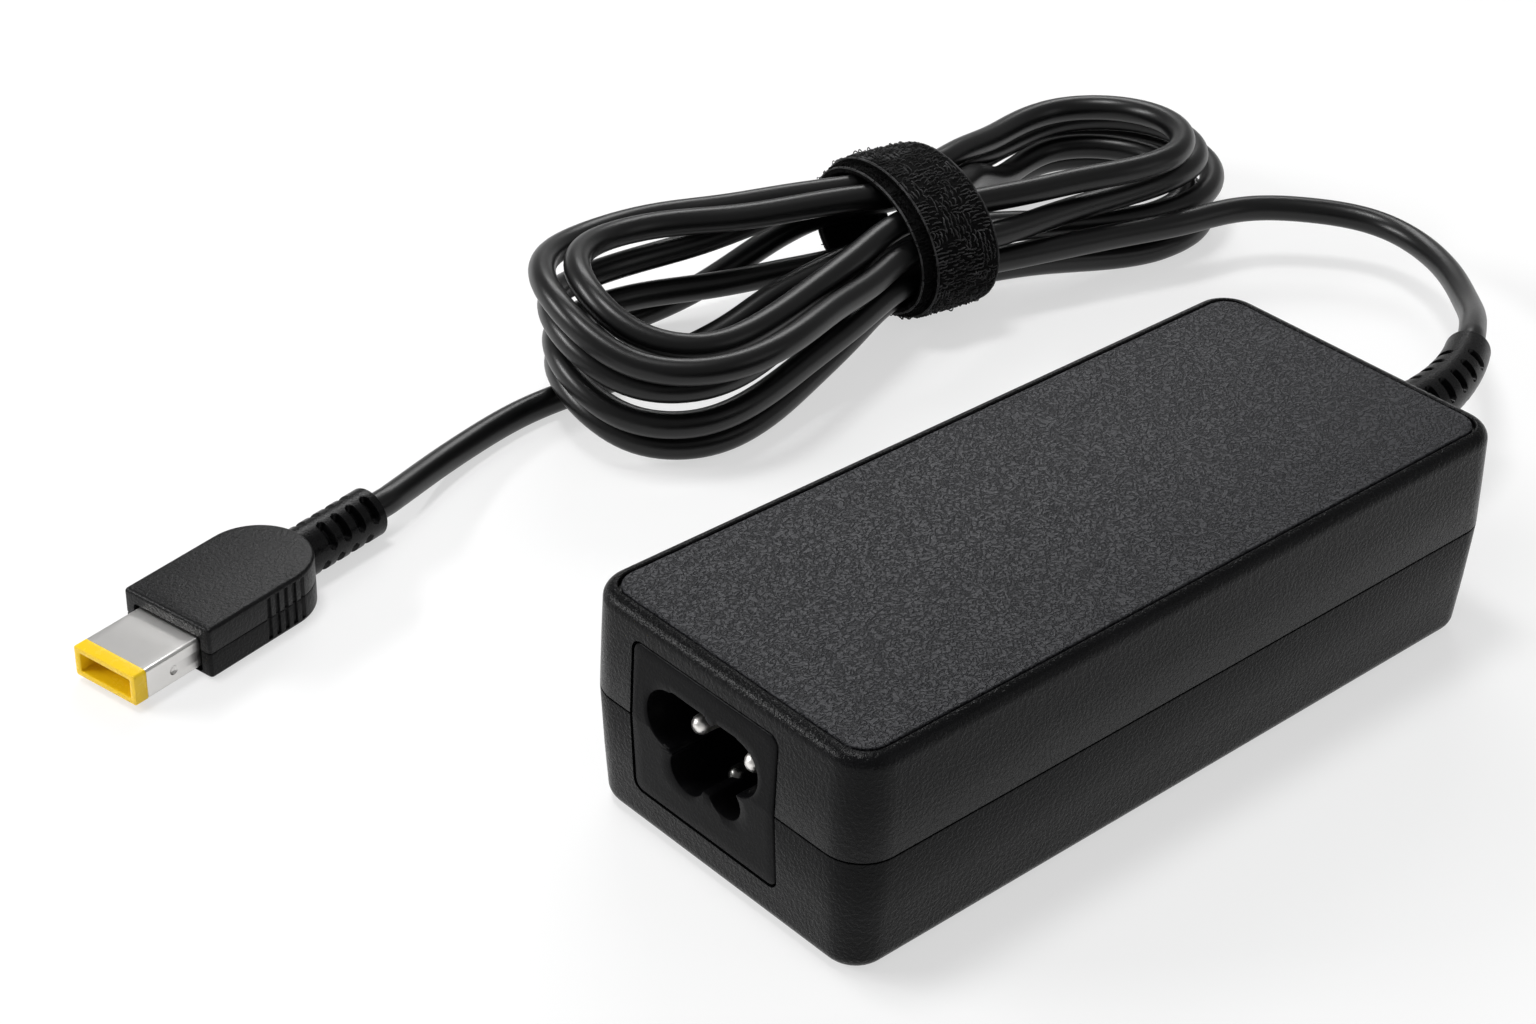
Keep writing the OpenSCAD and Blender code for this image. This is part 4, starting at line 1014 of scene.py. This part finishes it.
def yarn_loops(a, b, seed=11, middle=0.0, width=STRAP_W, low=0.16, high=0.36, cell=0.62):
    """Short bent yarns on a jittered grid over part of a layer's width.

    At share t of its length a yarn stands 4 t (1 - t) times its height off the tape. Yarns run
    across or along the tape, the same way within a block of the grid. The floor presses them
    flat, and about a quarter are left out at random.
    """
    rng = np.random.default_rng(seed)
    columns = int(width / cell)
    row, column = np.meshgrid(np.arange(YARN_ROWS), np.arange(columns), indexing="ij")
    blocks = rng.random((YARN_ROWS // 3 + 1, columns // 4 + 1)) < ACROSS_SHARE
    across = blocks[row // 3, column // 4].ravel()[:, None]
    n = YARN_ROWS * columns
    angle = ((row + rng.uniform(-0.3, 0.3, row.shape)) * 2 * np.pi / YARN_ROWS).ravel()
    from_left = (column + 0.5) * cell - width / 2
    x = (middle + from_left + rng.uniform(-0.15, 0.15, row.shape)).ravel()
    half = rng.uniform(0.35, 0.65, n)
    tall = rng.uniform(low, high, n) + TALL_MORE * (rng.random(n) < TALL_SHARE)
    thick = rng.uniform(0.07, 0.12, n)
    skew = rng.normal(0, 0.12, n)[:, None]
    t = np.linspace(0, 1, YARN_STEPS)
    along = (2 * t - 1) * half[:, None]
    dx = np.where(across, along, along * skew)
    ds = np.where(across, along * skew, along)
    lift = 4 * t * (1 - t) * tall[:, None] - SUNK
    centre, normal = off_oval(a, b, angle[:, None] + ds / MEAN_R, x[:, None] + dx, lift)
    run = unit(np.gradient(centre, axis=1))
    side = unit(np.cross(run, np.dstack([np.zeros((n, YARN_STEPS)), normal])))
    up = np.cross(side, run)
    around = full_turn(YARN_SIDES)[:, None]
    size = (thick[:, None] * (0.55 + 0.45 * np.sin(np.pi * t)))[:, :, None, None]
    ring = np.cos(around) * side[:, :, None] + np.sin(around) * up[:, :, None]
    ring = centre[:, :, None] + size * ring
    ring[..., 2] = np.maximum(ring[..., 2], FLOOR_CLEAR - TIE_Z)
    ring = ring[rng.random(n) < KEPT_SHARE]
    firsts = YARN_STEPS * YARN_SIDES * np.arange(len(ring))[:, None, None]
    faces = (np.array(surface(ring[0])[1]) + firsts).reshape(-1, 4)
    return from_hank(ring.reshape(-1, 3)), faces.tolist()


# %% Pile, hooks and rims
yarn = new_finish("yarn", (0.02, 0.02, 0.021), 0.75, Specular_IOR_Level=0.25, Sheen_Weight=0.15)
tone = noise(yarn, object_place(yarn), 420)
drive(yarn, "Base Color", blend_colours(
    yarn, tone, [(0.38, (0.002, 0.002, 0.0022)), (0.66, (0.045, 0.045, 0.047))]))
pile = build("strap_pile", [yarn_loops(15.46, 11.06)], sharp=180)
hooks = build("strap_hooks", [yarn_loops(14.46, 10.06, seed=12, middle=-6.1, width=2.0, low=0.3,
                                         high=0.5, cell=0.5)], sharp=180)
rims = build("strap_rims", [surface(rim_bead(a, b, shift + end * STRAP_W / 2, seed), ring=True)
                            for a, b, shift, seed in LAYERS for end in (-1, 1)], sharp=180)
place_piece(pile, yarn, "strap_fabric")
place_piece(hooks, strap_fabric, "strap_fabric")
place_piece(rims, yarn, "strap_fabric")

# %% [markdown]
# ## Finishes of the parts that stay as the CAD has them
#
# The circuit is sealed in the brick, and the plug's contacts sit deep in its mouth. Their CAD
# solids stay, and each one gets the finish of the real part.

# %% Circuit finishes
def sleeve_finish(name, colour, roughness):
    """Glossy plastic film or lacquer, with slow waves where it is drawn over the part."""
    finish = new_finish(name, colour, roughness, IOR=1.5)
    waves = noise(finish, object_place(finish), WAVE_SCALE)
    drive(finish, "Roughness", spread(finish, waves, roughness * 0.8, roughness * 1.3))
    drive(finish, "Normal", bump(finish, waves, 0.00006))
    return finish


# For each slot, what makes its finish and with which settings
RECIPES = {
    "sheet_plastic": (grained, (0.05, 0.05, 0.055), 0.5),
    "board": (grained, (0.03, 0.12, 0.05), 0.4, 1500),
    "fuse_plastic": (sleeve_finish, (0.12, 0.04, 0.03), 0.3),
    "ferrite": (grained, (0.05, 0.05, 0.055), 0.6, 1200, 0.00008),
    "copper_wire": (smooth_metal, (0.72, 0.3, 0.12), 0.3, (1, 1, 6)),
    "capacitor_film": (sleeve_finish, (0.6, 0.42, 0.05), 0.35),
    "package_plastic": (grained, (0.016, 0.016, 0.018), 0.55),
    "capacitor_sleeve": (sleeve_finish, (0.02, 0.04, 0.1), 0.25),
    "heatsink": (smooth_metal, (0.75, 0.76, 0.78), 0.4, (0.2, 1, 1)),
    "bobbin_plastic": (grained, (0.6, 0.55, 0.42), 0.5),
    "tape": (sleeve_finish, (0.6, 0.42, 0.06), 0.35),
    "disc_ceramic": (sleeve_finish, (0.06, 0.16, 0.35), 0.3),
    "wire_insulation": (sleeve_finish, (0.2, 0.08, 0.04), 0.45),
    "contact_metal": (smooth_metal, (0.75, 0.6, 0.35), 0.3, (0.1, 1, 1)),
}
node_finishes = {name: make(name, *how) for name, (make, *how) in RECIPES.items()}
dressed = 0
for row in frame["record"]["subparts"]:
    node = frame["nodes"][row["node"]]
    if not node.hide_render:
        node.data.materials.clear()
        node.data.materials.append(node_finishes[row["material_slot"]])
        dressed += 1
print("CAD nodes with a finish of their own:", dressed)

# %% [markdown]
# ## The cord
#
# The cord is one length of flexible wire, from the brick's strain relief to the plug. The strap
# and the plug's pieces lie on it.

# %% [markdown]
# ## Floor and light
#
# The adapter lies on a white floor under a white world. To the camera and in reflections more
# than half of the floor's colour is plain white, which lightens its shadows. The lamp above
# gives the cord its soft ridges of light. A broad one behind shines along the panel and the
# plug, a narrow one to the left picks out the rounded edges, and a weak one fills the right.

# %% Floor
FLOOR_WHITE, GLOW_SHARE = 0.92, 0.6
floor_mesh = bpy.data.meshes.new("floor")
floor_mesh.from_pydata([(-6, -6, 0), (6, -6, 0), (6, 6, 0), (-6, 6, 0)], [], [(0, 1, 2, 3)])
floor = new_object("floor", floor_mesh)
white = new_finish("floor_white", (FLOOR_WHITE,) * 3, 0.9)
rays = add(white, "ShaderNodeLightPath").outputs
mirrored = math_node(white, "MAXIMUM", rays["Is Glossy Ray"], rays["Is Transmission Ray"])
seen = math_node(white, "MAXIMUM", rays["Is Camera Ray"], mirrored)
share = math_node(white, "MULTIPLY", seen, GLOW_SHARE)
glow = add(white, "ShaderNodeEmission").outputs[0]
lit = shader_of(white).outputs[0]
shown = add(white, "ShaderNodeMixShader", [(0, share), (1, lit), (2, glow)]).outputs[0]
white.node_tree.links.new(shown, white.node_tree.nodes["Material Output"].inputs[0])
floor_mesh.materials.append(white)
print("floor", floor.dimensions.x, "m wide")

# %% Light
SKY_STRENGTH = 0.3
world = bpy.data.worlds.new("studio")
world.use_nodes = True
bpy.context.scene.world = world
sky = world.node_tree.nodes["Background"]
sky.inputs["Color"].default_value = (1, 1, 1, 1)
sky.inputs["Strength"].default_value = SKY_STRENGTH
# Name, place, aim, width, height and power
LAMPS = [("key", (-0.12, 0.2, 1.0), (0, 0.03, 0), 0.22, 0.22, 4.8),
         ("back", (0.8, 0.9, 0.9), (0, 0, 0), 0.7, 0.4, 6),
         ("edge", (-0.75, 0.8, 0.52), (0, 0, 0), 0.6, 0.06, 8),
         ("fill", (0.6, -0.9, 0.5), (0, 0, 0), 0.5, 0.5, 0.6)]
for name, at, aim, width, height, power in LAMPS:
    data = bpy.data.lights.new(name, "AREA")
    data.shape = "RECTANGLE"
    data.size, data.size_y, data.energy = width, height, power
    away = unit(np.array(at) - np.array(aim))
    side = unit(np.cross([0, 0, 1], away))
    new_object(name, data).matrix_world = pose(side, np.cross(away, side), away, at)
bpy.context.scene.view_settings.view_transform = "Standard"
print("lamps: key, back, edge and fill")
